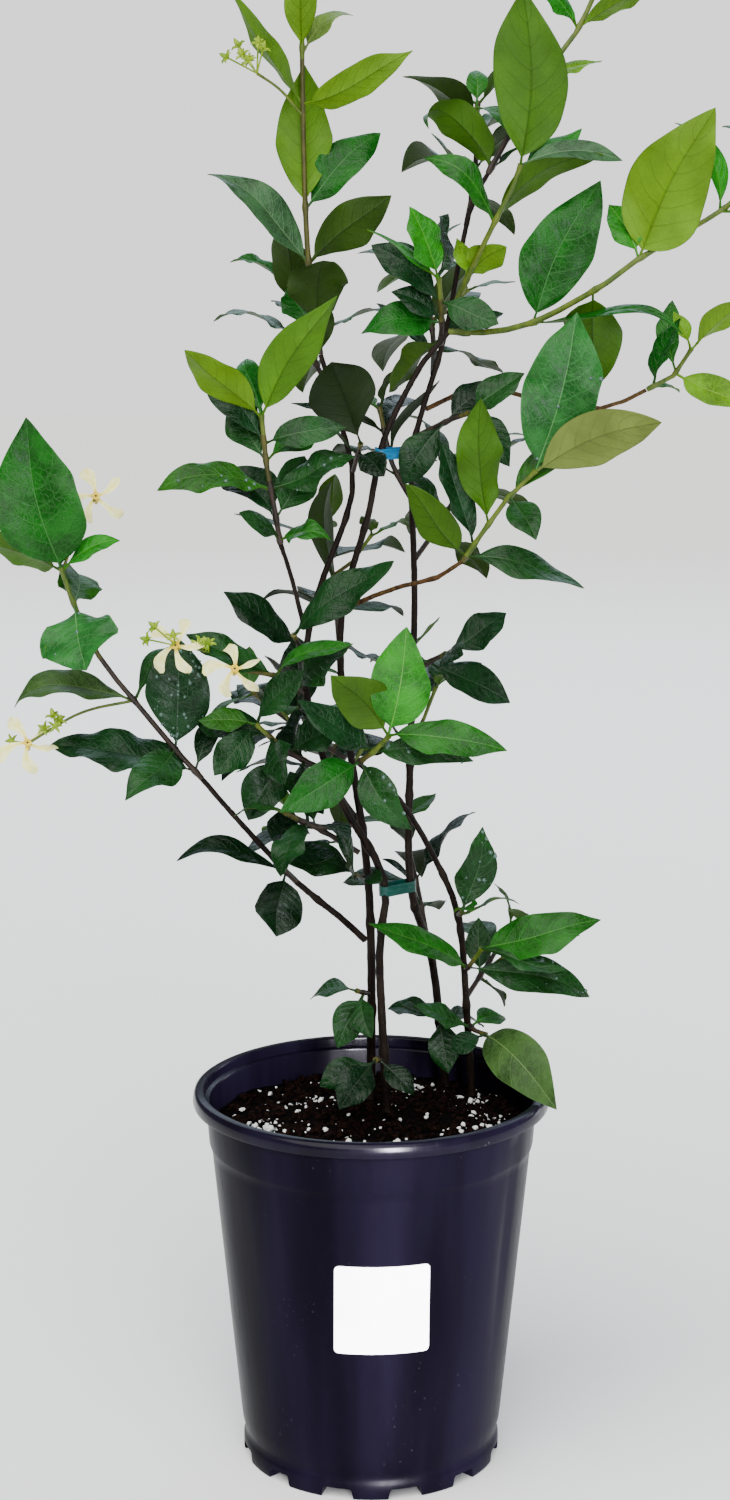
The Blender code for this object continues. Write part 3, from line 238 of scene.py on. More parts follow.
# Sprays that the front view shows leaf by leaf, named as their nodes are after "spray_". Each has
# its limb, the height on it or None for its tip, the twig's girth, a seed, its route and its nodes:
# a place on the twig and the leaves that spring there
SPRAYS = {
    "low_left": measured(
        "bough_low_left", None, (1.4, 1.1), 1,
        [(-90, -14, 353), (-109, -20, 378), (-127, -22, 402), (-139, -24, 430), (-143, -25, 443)],
        (0.04, old(186, 15, 72, 26, 35, 30), old(60, 52, 32, 12, 20, 20)),
        (0.16, old(8, 87, 53, 31, 88, 20), leaf(235, -25, 42, 22, 30, 40)),
        (0.42, old(180, 2, 63, 21, 30, 60), old(50, 45, 34, 12, 0, 30)),
        (0.86, leaf(285, -38, 42, 38, 25, 20), old(95, 15, 45, 24, 0, 30)),
        (1.00, leaf(178, 78, 72, 41, 82, 20), tender(192, 30, 44, 24, -50, 20),
               young(350, 32, 31, 12, 40, 30), leaf(100, 20, 34, 18, 0, 30)),
        flowers=[blossom(0.42, (-160, -27, 361), 1, 5, 11),
                 blossom(1.0, (-128, -8, 474), 1, 0, 12)]),
    "flowers": measured(
        "stem_middle", 380, (1.3, 1.0), 2,
        [(-45, -20, 392), (-62, -27, 396)],
        (0.12, old(330, 42, 38, 22, 60, 20)),
        (0.50, old(184, 24, 46, 17, 40, 30), leaf(8, 24, 46, 12, 40, 30)),
        flowers=[blossom(1.0, (-63, -34, 397), 1, 0, 21),
                 blossom(1.0, (-90, -33, 408), 1, 4, 22)]),
    "mid_left": measured(
        "bough_mid_left", None, (1.3, 1.1), 3,
        [(-45, -22, 472), (-48, -25, 490), (-50, -28, 513)],
        (0.03, leaf(212, 34, 26, 15, 45, 40), leaf(325, 8, 30, 13, 40, 50)),
        (0.20, old(150, 38, 40, 24, 30, 20), old(35, 60, 34, 20, 60, 20)),
        (0.44, old(182, 5, 55, 19, 35, 35), old(355, 24, 42, 18, 50, 20)),
        (0.66, old(135, 48, 34, 18, 40, 30), old(30, 30, 34, 16, 30, 30)),
        (0.80, leaf(352, 12, 39, 15, 60, 30), old(165, 46, 42, 18, 60, 20)),
        (1.00, tender(186, 33, 54, 20, -35, 40), tender(338, 54, 63, 22, -60, 15),
               leaf(140, 60, 36, 17, 60, 20))),
    "fork_left": measured(
        "stem_middle", 398, (1.3, 1.1), 44,
        [(-34, -20, 407), (-36, -26, 412)],
        (0.5, old(188, 36, 44, 19, 50, 20)),
        (1.0, old(345, 36, 60, 20, 60, 15))),
    "high_left": measured(
        "stem_middle", None, (1.4, 1.0), 5,
        [(-29, 31, 575), (-31, 32, 605), (-32, 30, 655), (-32, 26, 695), (-30, 22, 718)],
        (0.06, old(278, 62, 42, 28, 0, 20), leaf(125, 40, 36, 16, 30, 30)),
        (0.24, leaf(180, 45, 65, 20, 50, 25), old(4, 38, 50, 24, -60, 15)),
        (0.38, tender(272, 83, 66, 26, 0, 10), leaf(15, 46, 53, 21, 60, 20)),
        (0.65, leaf(184, 64, 57, 18, -40, -35), leaf(0, 25, 57, 19, -50, -30)),
        (0.78, tender(272, 78, 46, 15, 0, 10), leaf(12, 48, 32, 15, 30, 30)),
        (1.00, young(170, 62, 30, 12, 30, 20), young(340, 65, 28, 12, 30, 20)),
        flowers=[blossom(0.62, (-53, 24, 667), 0, 7, 51)]),
    "inner_left": measured(
        "stem_middle", 482, (1.2, 1.1), 6,
        [(-6, 6, 494), (-5, 1, 498)],
        (0.6, old(188, 42, 40, 10, 0, 20), old(300, -20, 26, 14, 30, 30)),
        (1.0, old(195, 57, 44, 32, -70, 20))),
    "top_centre": measured(
        "stem_back", 556, (1.4, 1.1), 7,
        [(49, 12, 583), (58, 2, 602), (64, -1, 614), (68, -4, 625)],
        (0.22, tender(175, 78, 20, 10, 60, 10), tender(335, 38, 26, 17, -50, 30)),
        (0.64, leaf(184, 48, 46, 14, 60, 30), leaf(352, 38, 60, 17, -40, 25)),
        (1.00, tender(274, 84, 78, 35, 0, 10), young(20, 20, 47, 15, 40, -30),
               leaf(352, 6, 48, 13, 40, 30))),
    "top_right": measured(
        "stem_back", None, (1.4, 1.1), 8,
        [(80, 52, 666), (97, 56, 688), (112, 60, 720)],
        (0.03, leaf(190, 42, 60, 20, -50, 100), old(20, 35, 26, 10, 0, 30)),
        (0.40, leaf(5, 25, 38, 15, 30, 30), young(120, 72, 44, 18, 60, 20)),
        (0.72, young(175, 48, 38, 17, 40, 30), young(350, 30, 44, 16, -40, 30)),
        (1.00, young(160, 60, 28, 12, 30, 20), young(10, 52, 28, 12, 30, 20))),
    "high_right": measured(
        "stem_left", None, (1.5, 1.1), 9,
        [(52, 8, 549), (75, -3, 554), (107, -16, 572), (120, -18, 582), (162, -5, 606),
         (177, 0, 622)],
        (0.25, leaf(2, 64, 72, 31, 80, 20), leaf(338, 2, 72, 11, 15, 20)),
        (0.44, leaf(80, -58, 54, 28, 0, 15)),
        (0.59, tender(332, 62, 74, 39, -72, 10), leaf(125, 50, 34, 16, 30, 30)),
        (0.86, young(140, 62, 52, 13, 20, 50), young(350, -10, 24, 10, 20, 30)),
        (1.00, tender(100, 50, 24, 11, 20, 20), tender(330, 40, 22, 10, 20, 20))),
    "mid_right": measured(
        "bough_mid_right", None, (1.2, 1.1), 10,
        [(51, -24, 459), (62, -28, 475), (75, -31, 488)],
        (0.05, old(350, -10, 58, 18, 45, 25), leaf(184, 50, 44, 20, -55, 20)),
        (0.18, old(178, 72, 50, 15, 60, 20)),
        (0.40, leaf(190, 74, 60, 22, -80, 15)),
        (0.70, old(15, 36, 46, 17, 30, 20), old(295, -35, 32, 16, 20, 30)),
        (1.00, leaf(2, 76, 75, 35, 82, 20), tender(343, 33, 74, 25, -60, 15))),
    "far_right": measured(
        "bough_far_right", None, (1.2, 1.0), 11,
        [(147, 58, 527), (155, 55, 540)],
        (0.10, leaf(340, 68, 36, 14, 50, 20), young(5, 5, 17, 7, 20, 20)),
        (0.55, tender(330, -18, 46, 17, 50, -35), leaf(100, 70, 40, 12, 30, 30)),
        (1.00, tender(0, 42, 40, 17, -40, 20), tender(150, 60, 30, 12, 30, 20))),
    "front": measured(
        "stem_right", None, (1.3, 1.1), 12,
        [(2, -38, 360), (8, -45, 368)],
        (0.08, leaf(206, -26, 46, 21, 65, 20), leaf(318, -44, 42, 18, 60, 30)),
        (0.45, old(352, -2, 48, 16, 55, 30), leaf(198, 38, 44, 19, 58, 20)),
        (1.00, young(206, 46, 42, 24, -75, 15), young(350, 72, 51, 28, 80, 15),
               leaf(345, -2, 57, 18, 50, 30))),
    "centre_left": measured(
        "stem_middle", 345, (1.3, 1.1), 13,
        [(-40, -20, 356), (-54, -25, 370)],
        (0.25, old(100, 35, 36, 19, 60, 20), old(290, -38, 34, 19, 60, 20)),
        (0.45, old(222, -48, 38, 21, 50, 20), old(340, 25, 32, 21, 60, 20)),
        (0.75, old(160, 8, 40, 18, 45, 30), old(285, -30, 34, 19, 60, 20)),
        (1.00, leaf(186, 4, 27, 13, 50, 20), old(215, -38, 34, 17, 55, 20),
               old(335, 48, 36, 17, 65, 20))),
    "low_bough": measured(
        "bough_low_left", 285, (1.2, 1.1), 14,
        [(-42, -8, 296), (-45, -12, 302)],
        (0.5, old(184, 12, 56, 14, 25, 45), old(250, -62, 32, 26, 50, 20)),
        (1.0, old(60, 62, 28, 15, 50, 20), old(345, 8, 30, 14, 40, 20))),
    "low_centre": measured(
        "stem_left", 284, (1.2, 1.1), 15,
        [(-4, 4, 290), (-8, -6, 293)],
        (0.6, old(184, 8, 46, 19, 45, 25), old(320, 20, 26, 13, 40, 20)),
        (1.0, old(200, 70, 28, 14, 50, 20), old(240, 30, 26, 14, 60, 20))),
    "right_upper": measured(
        "stem_right", 268, (1.2, 1.1), 16,
        [(43, 9, 270), (44, 5, 272)],
        (0.5, leaf(352, 20, 30, 8, 0, 20), old(60, 40, 28, 14, 20, 20)),
        (1.0, old(18, 76, 43, 20, 85, 15), leaf(280, 20, 24, 12, 20, 20))),
    "right_lower": measured(
        "stem_right", 238, (1.3, 1.1), 17,
        [(48, 18, 241), (54, 12, 252)],
        (0.1, leaf(196, 27, 62, 16, 50, 25), old(352, -10, 64, 20, 55, 30)),
        (1.0, leaf(352, 19, 61, 23, 55, 20), tender(338, 0, 44, 10, 30, 15))),
    "rim_right": measured(
        "stem_right", 208, (1.3, 1.1), 18,
        [(51, 24, 207), (57, 19, 206)],
        (0.2, leaf(190, 22, 32, 14, 40, 25), leaf(60, 0, 30, 15, 20, 30)),
        (1.0, leaf(302, -20, 66, 25, 45, 50), old(220, -12, 24, 12, 30, 25))),
    "soil_left": measured(
        "stem_left", 225, (1.2, 1.1), 19,
        [(-4, 18, 228), (-7, 14, 230)],
        (0.5, leaf(205, -62, 30, 16, 50, 20), old(300, -50, 26, 14, 40, 20)),
        (1.0, old(150, -10, 30, 15, 20, 25))),
    "soil_front": measured(
        "stem_middle", 196, (1.2, 1.1), 20,
        [(4, 1, 199), (2, -3, 200)],
        (0.6, old(195, -20, 32, 17, 45, 20), old(320, -30, 26, 12, 40, 20)),
        (1.0, old(232, -42, 34, 18, 40, 20))),
    "soil_right": measured(
        "stem_back", 206, (1.2, 1.1), 21,
        [(34, 40, 209), (34, 36, 211)],
        (0.5, old(30, -16, 30, 14, 20, 30), old(150, 0, 30, 15, 20, 20)),
        (1.0, old(285, -58, 30, 16, 30, 20), old(240, 30, 26, 13, 20, 20))),
    "crown_centre": measured(
        "stem_back", 540, (1.3, 1.1), 22,
        [(33, 16, 554), (32, 8, 566), (31, 4, 574)],
        (0.10, old(222, -52, 36, 18, -55, 20), old(20, 20, 34, 17, 50, 20)),
        (0.36, leaf(184, -4, 39, 20, 60, 20), leaf(172, 26, 28, 15, 60, 20)),
        (0.66, old(160, 38, 44, 18, 50, 20), old(330, -18, 32, 17, 55, 20)),
        (1.00, young(200, 68, 36, 18, 75, 20), leaf(180, 36, 40, 11, 25, 10),
               old(60, 56, 42, 21, 75, 20))),
    "inner_right": measured(
        "stem_back", 500, (1.3, 1.1), 23,
        [(38, 10, 509), (46, 4, 512)],
        (0.5, old(210, -50, 36, 18, 55, 20), old(20, 30, 34, 17, 50, 20)),
        (1.0, leaf(355, 38, 32, 17, 60, 20), old(320, -45, 34, 15, 50, 30))),
    "inner_low": measured(
        "stem_back", 385, (1.3, 1.1), 24,
        [(30, 28, 392), (36, 22, 396)],
        (0.4, old(350, -26, 44, 18, 55, 20), old(225, 12, 34, 17, 55, 20)),
        (1.0, old(10, 34, 36, 19, 50, 20), old(285, 5, 32, 16, 45, 30))),
}

# Sprays round the back and sides, which follow the same habit without being measured
BACK_SPRAYS = {
    "back_low": habit("stem_back", 245, 31, 46, 65, [(24, 66, 268), (16, 92, 298)]),
    "back_left_low": habit("stem_left", 312, 32, 54, 70, [(-20, 42, 330), (-30, 72, 352)]),
    "back_right_low": habit("stem_back", 330, 33, 50, 40, [(20, 60, 352), (18, 90, 384)]),
    "back_middle": habit("stem_left", 400, 34, 56, 10, [(-18, 46, 424), (-22, 76, 452)]),
    "back_right_middle": habit("stem_back", 440, 35, 56, 60, [(36, 62, 458), (52, 90, 484)]),
    "back_high": habit("stem_back", 528, 36, 54, 30, [(30, 58, 545), (26, 86, 578)]),
    "back_high_left": habit("stem_middle", 520, 37, 52, 75, [(-30, 54, 540), (-40, 78, 574)]),
    "back_top": habit("stem_back", 596, 38, 54, 50, [(50, 68, 622), (52, 86, 658)]),
    "centre_back": habit("stem_left", 344, 41, 50, 35, [(-34, 24, 358), (-58, 30, 376)]),
    "centre_low": habit("stem_left", 296, 42, 46, 60, [(-20, 24, 306), (-40, 26, 316)], pairs=3),
    "crown_back": habit("stem_back", 470, 43, 48, 15, [(10, 38, 486), (4, 50, 512)]),
    "left_low": habit("stem_middle", 318, 39, 46, 20, [(-26, -30, 322), (-40, -44, 332)], pairs=3),
    "right_low_back": habit("stem_right", 222, 40, 44, 80, [(60, 54, 234), (72, 70, 248)], pairs=3),
}


class Route:
    """A smooth line through a few points, read by its fraction or by its height."""

    def __init__(self, points, step=10.0):
        marks = [Vector(point) for point in points]
        ends = [2 * marks[0] - marks[1]] + marks + [2 * marks[-1] - marks[-2]]
        self.points = [marks[0]]
        for a, b, c, d in zip(ends, ends[1:], ends[2:], ends[3:]):
            count = max(1, round((c - b).length / step))
            for index in range(1, count + 1):
                t = index / count
                self.points.append(0.5 * (2 * b + (c - a) * t + (2 * a - 5 * b + 4 * c - d) * t * t
                                          + (3 * b - a - 3 * c + d) * t ** 3))
        self.measure()

    def measure(self):
        self.marks = [0.0]
        for a, b in zip(self.points, self.points[1:]):
            self.marks.append(self.marks[-1] + (b - a).length)
        self.length = self.marks[-1]

    def place(self, fraction):
        """The point at a fraction of the length, and the direction there."""
        wanted = min(max(fraction, 0.0), 1.0) * self.length
        for a, b, start, end in zip(self.points, self.points[1:], self.marks, self.marks[1:]):
            if wanted <= end or end == self.length:
                share = (wanted - start) / (end - start)
                return a.lerp(b, share), (b - a).normalized()

    def fraction_at(self, height):
        """The fraction of the length where the line first reaches a height."""
        for a, b, start, end in zip(self.points, self.points[1:], self.marks, self.marks[1:]):
            if b.z >= height:
                share = (height - a.z) / (b.z - a.z)
                return (start + share * (end - start)) / self.length
        return 1.0

    def nearest(self, point):
        """The distance from a point to the line, and the nearest point of the line."""
        best = (math.inf, None)
        for a, b in zip(self.points, self.points[1:]):
            along = b - a
            share = min(max((point - a).dot(along) / along.length_squared, 0.0), 1.0)
            foot = a + share * along
            best = min(best, ((point - foot).length, foot), key=lambda pair: pair[0])
        return best


class Limb:
    """A tapering stem, bough or twig along a route, cut square to its foot direction."""

    def __init__(self, route, girth, sides, foot=None):
        self.route = route
        self.girth = girth
        self.sides = sides
        self.foot = foot

    def radius(self, fraction):
        return self.girth[0] + (self.girth[1] - self.girth[0]) * fraction

    def solid(self, flare=1.0):
        """Rings of points along the route, closed at both ends."""
        points = self.route.points
        rings = []
        side = Vector((1, 0, 0))
        for index, point in enumerate(points):
            ahead = points[min(index + 1, len(points) - 1)] - points[max(index - 1, 0)]
            ahead = self.foot if self.foot and index == 0 else ahead.normalized()
            side = (side - side.dot(ahead) * ahead).normalized()
            other = ahead.cross(side)
            radius = self.radius(self.route.marks[index] / self.route.length)
            if index == 0:
                radius *= flare
            rings.append(circle(point, radius, side, other, self.sides))
        return loft(rings)


def crosswise(axis):
    """Two directions square to an axis and to each other."""
    side = axis.orthogonal().normalized()
    return side, axis.cross(side)


def circle(centre, radius, side, other, count):
    """Evenly spaced points round a centre, in the plane of two directions."""
    return [centre + radius * (math.cos(turn) * side + math.sin(turn) * other)
            for turn in (math.tau * k / count for k in range(count))]


def loft(rings):
    """A closed solid through rings of equal count, with flat ends."""
    count = len(rings[0])
    points = [point for ring in rings for point in ring]
    faces = [tuple(range(count))[::-1]]
    for low in range(0, len(points) - count, count):
        for k in range(count):
            follow = (k + 1) % count
            faces.append((low + k, low + follow, low + count + follow, low + count + k))
    faces.append(tuple(range(len(points) - count, len(points))))
    return points, faces


def trimmed(route, parent, radius):
    """The route without the stretch that lies inside its parent limb or too close to it."""
    fraction = 0.0
    while fraction < MOST_TRIMMED:
        point, ahead = route.place(fraction)
        distance, foot = parent.route.nearest(point)
        outward = (point - foot).normalized() if distance > 0.01 else ahead
        lean = math.sqrt(max(0.0, 1 - ahead.dot(outward) ** 2))
        reach = parent.radius(parent.route.fraction_at(foot.z)) + GAP
        if distance - radius * lean >= reach:
            break
        fraction += TRIM_STEP
    start, _ = route.place(fraction)
    kept = [point for point, mark in zip(route.points, route.marks)
            if mark > fraction * route.length + SHORTEST_STEP]
    result = Route([start] + kept[:1], step=route.length)
    result.points = [start] + kept
    result.measure()
    return result


def grown_from(spec, limbs, girth, sides, step):
    """A bough or a twig that starts clear of the limb that carries it, at its side or its tip."""
    parent = limbs[spec["limb"]]
    if spec["at"] is not None:
        start, _ = parent.route.place(parent.route.fraction_at(spec["at"]))
        route = trimmed(Route([start] + spec["route"], step), parent, girth[0])
        return Limb(route, girth, sides)
    tip, ahead = parent.route.place(1.0)
    return Limb(Route([tip + GAP * ahead] + spec["route"], step), girth, sides, ahead)


def direction(heading, rise):
    """A unit vector from its heading and its rise."""
    turn, lift = math.radians(heading), math.radians(rise)
    return Vector((math.cos(lift) * math.cos(turn), math.cos(lift) * math.sin(turn),
                   math.sin(lift)))


def facing(heading, rise, face):
    """The direction that a leaf's upper side faces."""
    upper = direction(heading, rise + 90)
    ahead = direction(heading, rise)
    side = 1 if math.cos(math.radians(heading)) >= 0 else -1
    turn = math.radians(face) * side
    return upper * math.cos(turn) + ahead.cross(upper) * math.sin(turn)


def blade_width(share):
    """Half the width of a blade at a share of its length, as part of the widest."""
    return math.sin(math.pi * share ** BLADE_SHIFT) ** BLADE_FULLNESS


def leaf_solid(base, ahead, upper, shape, growth=0.0, start=0.0):
    """A blade folded along its midrib, thickest there, on a curved line from its base."""
    length, width = shape["length"], shape["width"]
    bend = math.radians(shape["bend"]) or 0.01
    thickness = LEAF_THICKNESS[shape["age"]]
    fold = math.radians(FOLD)
    side = ahead.cross(upper)

    def section(share, half, depth=thickness):
        rest = bend / 2 - bend * share
        middle = base + (length / bend) * ((math.sin(bend / 2) - math.sin(rest)) * ahead
                                           + (math.cos(rest) - math.cos(bend / 2)) * upper)
        normal = math.cos(rest) * upper - math.sin(rest) * ahead
        spread = (half + growth) * math.cos(fold) * side
        raised = (half + growth) * math.sin(fold) * normal
        return [middle - spread + raised, middle - normal * (depth + growth),
                middle + spread + raised, middle + normal * growth]

    rings = []
    if start:
        rings.append(section(start, width / 2 * blade_width(start)))
    else:
        foot = section(0.0, FOOT, 2 * FOOT)
        rings.append([point - SINK * ahead + FOOT * upper for point in foot])
    sections = next(shares for least, shares in LEAF_SECTIONS if length > least)
    rings += [section(share, width / 2 * blade_width(share)) for share in sections
              if share > start]
    points, faces = loft(rings)
    tip = section(1.0, 0.0)[3]
    last = len(points) - 4
    faces[-1:] = [(last + k, last + (k + 1) % 4, len(points)) for k in range(4)]
    return points + [tip], faces


def flower_solid(centre, axis):
    """A five-armed pinwheel star."""
    side, other = crosswise(axis)
    outline = []
    for petal in range(PETALS):
        for turn, radius in ((0.0, FLOWER_THROAT), (0.45, FLOWER_RADIUS)):
            angle = math.tau * (petal + turn) / PETALS
            outline.append(radius * (math.cos(angle) * side + math.sin(angle) * other))
    half = PETAL_THICKNESS / 2 * axis
    count = len(outline)
    points = [centre + way * half + point for way in (-1, 1) for point in outline]
    points += [centre - half, centre + half]
    faces = []
    for k in range(count):
        follow = (k + 1) % count
        faces.append((k, follow, count + follow, count + k))
        faces.append((2 * count, follow, k))
        faces.append((2 * count + 1, count + k, count + follow))
    return points, faces


def bud_solid(start, end):
    """A slim closed bud on its own stalk, from the fork to the tip of the bud."""
    ahead = (end - start).normalized()
    side, other = crosswise(ahead)
    return loft([circle(end - back * ahead, radius, side, other, TWIG_SIDES) for back, radius in (
        ((end - start).length, BUD_STALK_RADIUS), (BUD_LENGTH, BUD_STALK_RADIUS),
        (0.35 * BUD_LENGTH, BUD_RADIUS), (0.0, BUD_STALK_RADIUS / 2))])


def surrounding(solid):
    """A solid's middle, how far it reaches from there, and its surface."""
    points, faces = solid
    centre = sum(points, Vector()) / len(points)
    reach = max((point - centre).length for point in points)
    return centre, reach, BVHTree.FromPolygons(points, faces)


class Space:
    """Everything placed so far, so that no leaf or twig runs into another."""

    def __init__(self):
        self.things = []

    def add(self, solid, owner):
        self.things.append((*surrounding(solid), owner))

    def touched(self, solid):
        """The owners of the things that a solid runs into."""
        centre, reach, surface = surrounding(solid)
        return {owner for middle, size, other, owner in self.things
                if (middle - centre).length < reach + size and surface.overlap(other)}


def tries(shape):
    """A leaf as measured, then the same leaf turned and shortened a little."""
    yield shape
    for shrink in SHRINKS:
        for turn, lift in TURNS:
            yield dict(shape, heading=shape["heading"] + turn, rise=shape["rise"] + lift,
                       length=shape["length"] * shrink, width=shape["width"] * shrink)


class Spray:
    """One mass of foliage: where its twigs, leaves and blossom are."""

    def __init__(self, name, spec, limbs, space):
        self.name = name
        self.spec = spec
        self.space = space
        self.random = random.Random(spec["seed"])
        self.twig = grown_from(spec, limbs, spec.get("girth", TWIG_GIRTH), TWIG_SIDES, TWIG_STEP)
        self.centre, _ = self.twig.route.place(0.5)
        self.reach = self.twig.route.length / 2 + SPREAD_LIMIT
        self.twigs = [self.twig]
        self.leaves, self.stalks, self.flowers, self.buds = [], [], [], []
        space.add(self.twig.solid(), name)

    def fits(self, whole, outer):
        """Whether a solid stays in the spray's reach, clear of others and of its own neighbours."""
        inside = all((point - self.centre).length < self.reach for point in whole[0])
        return (inside and not self.space.touched(whole) - {self.name}
                and self.name not in self.space.touched(outer))

    def add_leaf(self, base, shape):
        """Place a leaf, or leave it out where there is no room for it."""
        for candidate in tries(shape):
            ahead = direction(candidate["heading"], candidate["rise"])
            upper = facing(candidate["heading"], candidate["rise"], candidate["face"])
            whole = leaf_solid(base, ahead, upper, candidate, LEAF_CLEARANCE)
            outer = leaf_solid(base, ahead, upper, candidate, LEAF_CLEARANCE, CROWDED_SHARE)
            if self.fits(whole, outer):
                self.leaves.append((base, ahead, upper, candidate))
                self.space.add(leaf_solid(base, ahead, upper, candidate), self.name)
                return

    def measured_nodes(self):
        for fraction, leaves in self.spec["nodes"]:
            base, _ = self.twig.route.place(fraction * TWIG_LAST_PAIR)
            for index, shape in enumerate(leaves):
                self.add_leaf(base + PAIR_STAGGER * index * UP, shape)

    def habit_nodes(self, route, pairs, size, turn, first):
        """Opposite pairs, each turned a quarter from the one below."""
        for index in range(pairs):
            fraction = first + (TWIG_LAST_PAIR - first) * index / max(1, pairs - 1)
            base, ahead = route.place(fraction)
            across = ahead.cross(UP)
            across = across.normalized() if across.length > 0.1 else Vector((1, 0, 0))
            angle = math.radians(turn + 90 * index + self.random.uniform(*PAIR_SWAY))
            outward = across * math.cos(angle) + ahead.cross(across) * math.sin(angle)
            for way in (outward, -outward):
                splay = math.radians(self.random.uniform(*PAIR_SPLAY))
                line = ahead * math.cos(splay) + way * math.sin(splay) - PAIR_DROOP * UP
                line.normalize()
                share = 1 - 0.35 * abs(2 * index / max(1, pairs - 1) - 0.9) ** 2
                length = size * share * self.random.uniform(*HABIT_LENGTH)
                self.add_leaf(base, {
                    "heading": math.degrees(math.atan2(line.y, line.x)),
                    "rise": math.degrees(math.asin(line.z)), "length": length,
                    "width": length * self.random.uniform(*HABIT_WIDTH),
                    "face": self.random.uniform(*HABIT_FACE),
                    "bend": self.random.uniform(*HABIT_BEND),
                    "age": "old" if index < pairs - 1 else "grown"})

    def side_twigs(self, nodes, chance, length):
        """Short twigs from the leaf axils, with one small pair at the tip."""
        for fraction in nodes:
            if self.random.random() > chance:
                continue
            base, ahead = self.twig.route.place(fraction)
            way = direction(self.random.uniform(0, 360), self.random.uniform(0, 50))
            line = (ahead * 0.6 + way).normalized()
            reach = length * self.random.uniform(0.8, 1.2)
            onward = [base + 0.5 * reach * line, base + reach * (line + 0.25 * UP)]
            route = Route([base - SINK * line] + onward, step=20)
            outer = Route([base + 3 * line] + onward, step=20)
            test = Limb(outer, (1.2, 1.1), TWIG_SIDES).solid()
            if not self.fits(test, test):
                continue
            self.twigs.append(Limb(route, (1.0, 0.9), TWIG_SIDES))
            self.space.add(test, self.name)
            self.habit_nodes(route, 1, length * 1.6, self.random.uniform(0, 180), TWIG_LAST_PAIR)

    def add_blossom(self, spec):
        """A stalk that splits into open flowers and buds."""
        chance = random.Random(spec["seed"])
        start, _ = self.twig.route.place(spec["at"] * TWIG_LAST_PAIR)
        end = Vector(spec["to"])
        sag = Vector((0, 0, 0.08 * (end - start).length))
        outer = Route([start + 0.25 * (end - start), end], step=30)
        test = Limb(outer, (1.0, 1.0), TWIG_SIDES).solid()
        if self.space.touched(test) - {self.name}:
            return
        self.stalks.append(Route([start, (start + end) / 2 + sag, end], step=4))
        self.space.add(test, self.name)
        onward = (end - start).normalized()
        for index in range(spec["open"]):
            centre = end + index * 12 * direction(chance.uniform(0, 360), 20)
            axis = direction(chance.uniform(255, 285), chance.uniform(20, 40))
            flower = flower_solid(centre + 0.4 * axis, axis)
            if not self.space.touched(flower) - {self.name}:
                self.flowers.append((centre + 0.4 * axis, axis))
                self.space.add(flower, self.name)
        for index in range(spec["buds"]):
            line = (onward + 0.9 * direction(chance.uniform(0, 360), chance.uniform(-30, 70)))
            line.normalize()
            tip = end + chance.uniform(*BUD_STALK) * line + BUD_LENGTH / 2 * line
            if not self.space.touched(bud_solid(end + 3 * line, tip)):
                self.buds.append((end, tip))

    def grow(self):
        if "nodes" in self.spec:
            self.measured_nodes()
            for spec in self.spec["blossom"]:
                self.add_blossom(spec)
            self.side_twigs([node for node, _ in self.spec["nodes"]], *AXIL_TWIGS)
        else:
            self.habit_nodes(self.twig.route, self.spec["pairs"], self.spec["leaf"],
                             self.spec["turn"], BACK_FIRST_PAIR)
            self.side_twigs(BACK_AXILS, *BACK_AXIL_TWIGS)


# Fine shapes. Columns across a blade, from edge to edge, as shares of half its width
LEAF_COLUMNS = (-1, -0.93, -0.75, -0.52, -0.30, -0.08, 0, 0.08, 0.30, 0.52, 0.75, 0.93, 1)
PETAL_COLUMNS = (-1, -0.6, -0.2, 0.2, 0.6, 1)

# Leaves: length of a row of faces, fewest rows, thickness, stalk and midrib
ROW_LENGTH = 2.3
LEAST_ROWS = 9
LEAF_SHEET = 0.35
PETIOLE = 5.0
PETIOLE_RADIUS = 0.55
RIB_RADIUS = 0.30

# How a leaf may differ from the next. Its tip curls down, or up a little, and its midline sinks
# and sways, as shares of its length. Its twist and fold are in degrees.
CURL_WAYS = (1, 1, -0.4)
TIP_CURL = 0.15
LINE_SINK = 0.035
LINE_SWAY = 0.07
LEAF_TWIST = 38
BLADE_FOLD = (3, 26)
BLADE_ARCH = (0.1, 0.75)

# How pointed its tip is, how far its widest place lies towards the foot, and how many waves and
# bulges it has. The swing of the waves is a share of its width.
POINT = (0.08, 0.36)
OLD_POINT = (0.0, 0.2)
FULLEST = (0.78, 1.28)
OLD_FULLER = 0.15
EDGE_WAVES = (1.3, 2.8)
WAVE_SWING = (0.03, 0.12)
VEIN_PAIRS = (7.5, 9.5)

# Petals: reach, rows of faces, swirl in radians, droop, roll in degrees and thickness
PETAL_REACH = 15.0
PETAL_ROWS = 10
PETAL_SWIRL = 0.35
PETAL_DROOP = (-2.0, 7.0)
PETAL_ROLL = (15, 60)
PETAL_SHEET = 0.3

# Throat and eye of a flower: places along its axis, radii there, sides and finish
THROAT = (((-6.5, -4, -0.5, 0.7), (0.7, 1.1, 1.3, 2.0), 12, 1),
          ((0.5, 0.9), (0.7, 0.45), 8, 4))

# Buds: how far behind the tip their rings are, and the radii from the stalk's foot on. Sepals: how
# far their rings are outwards and forwards of their heel, and the radii there
BUD_PLACES = (5.2, 4.2, 3.2, 2.1, 1.0, 0.0)
BUD_RADII = (0.4, 0.45, 1.0, 1.25, 1.15, 0.75, 0.2)
SEPALS = 5
SEPAL_PLACES = ((0, 0), (1.2, 0.9), (2.5, 1.2), (3.7, 0.5))
SEPAL_RADII = (0.55, 0.75, 0.6, 0.1)
CLUSTER_BUDS = 4
CLUSTER_STALK = (7, 12)
DROP_RADIUS = 1.25

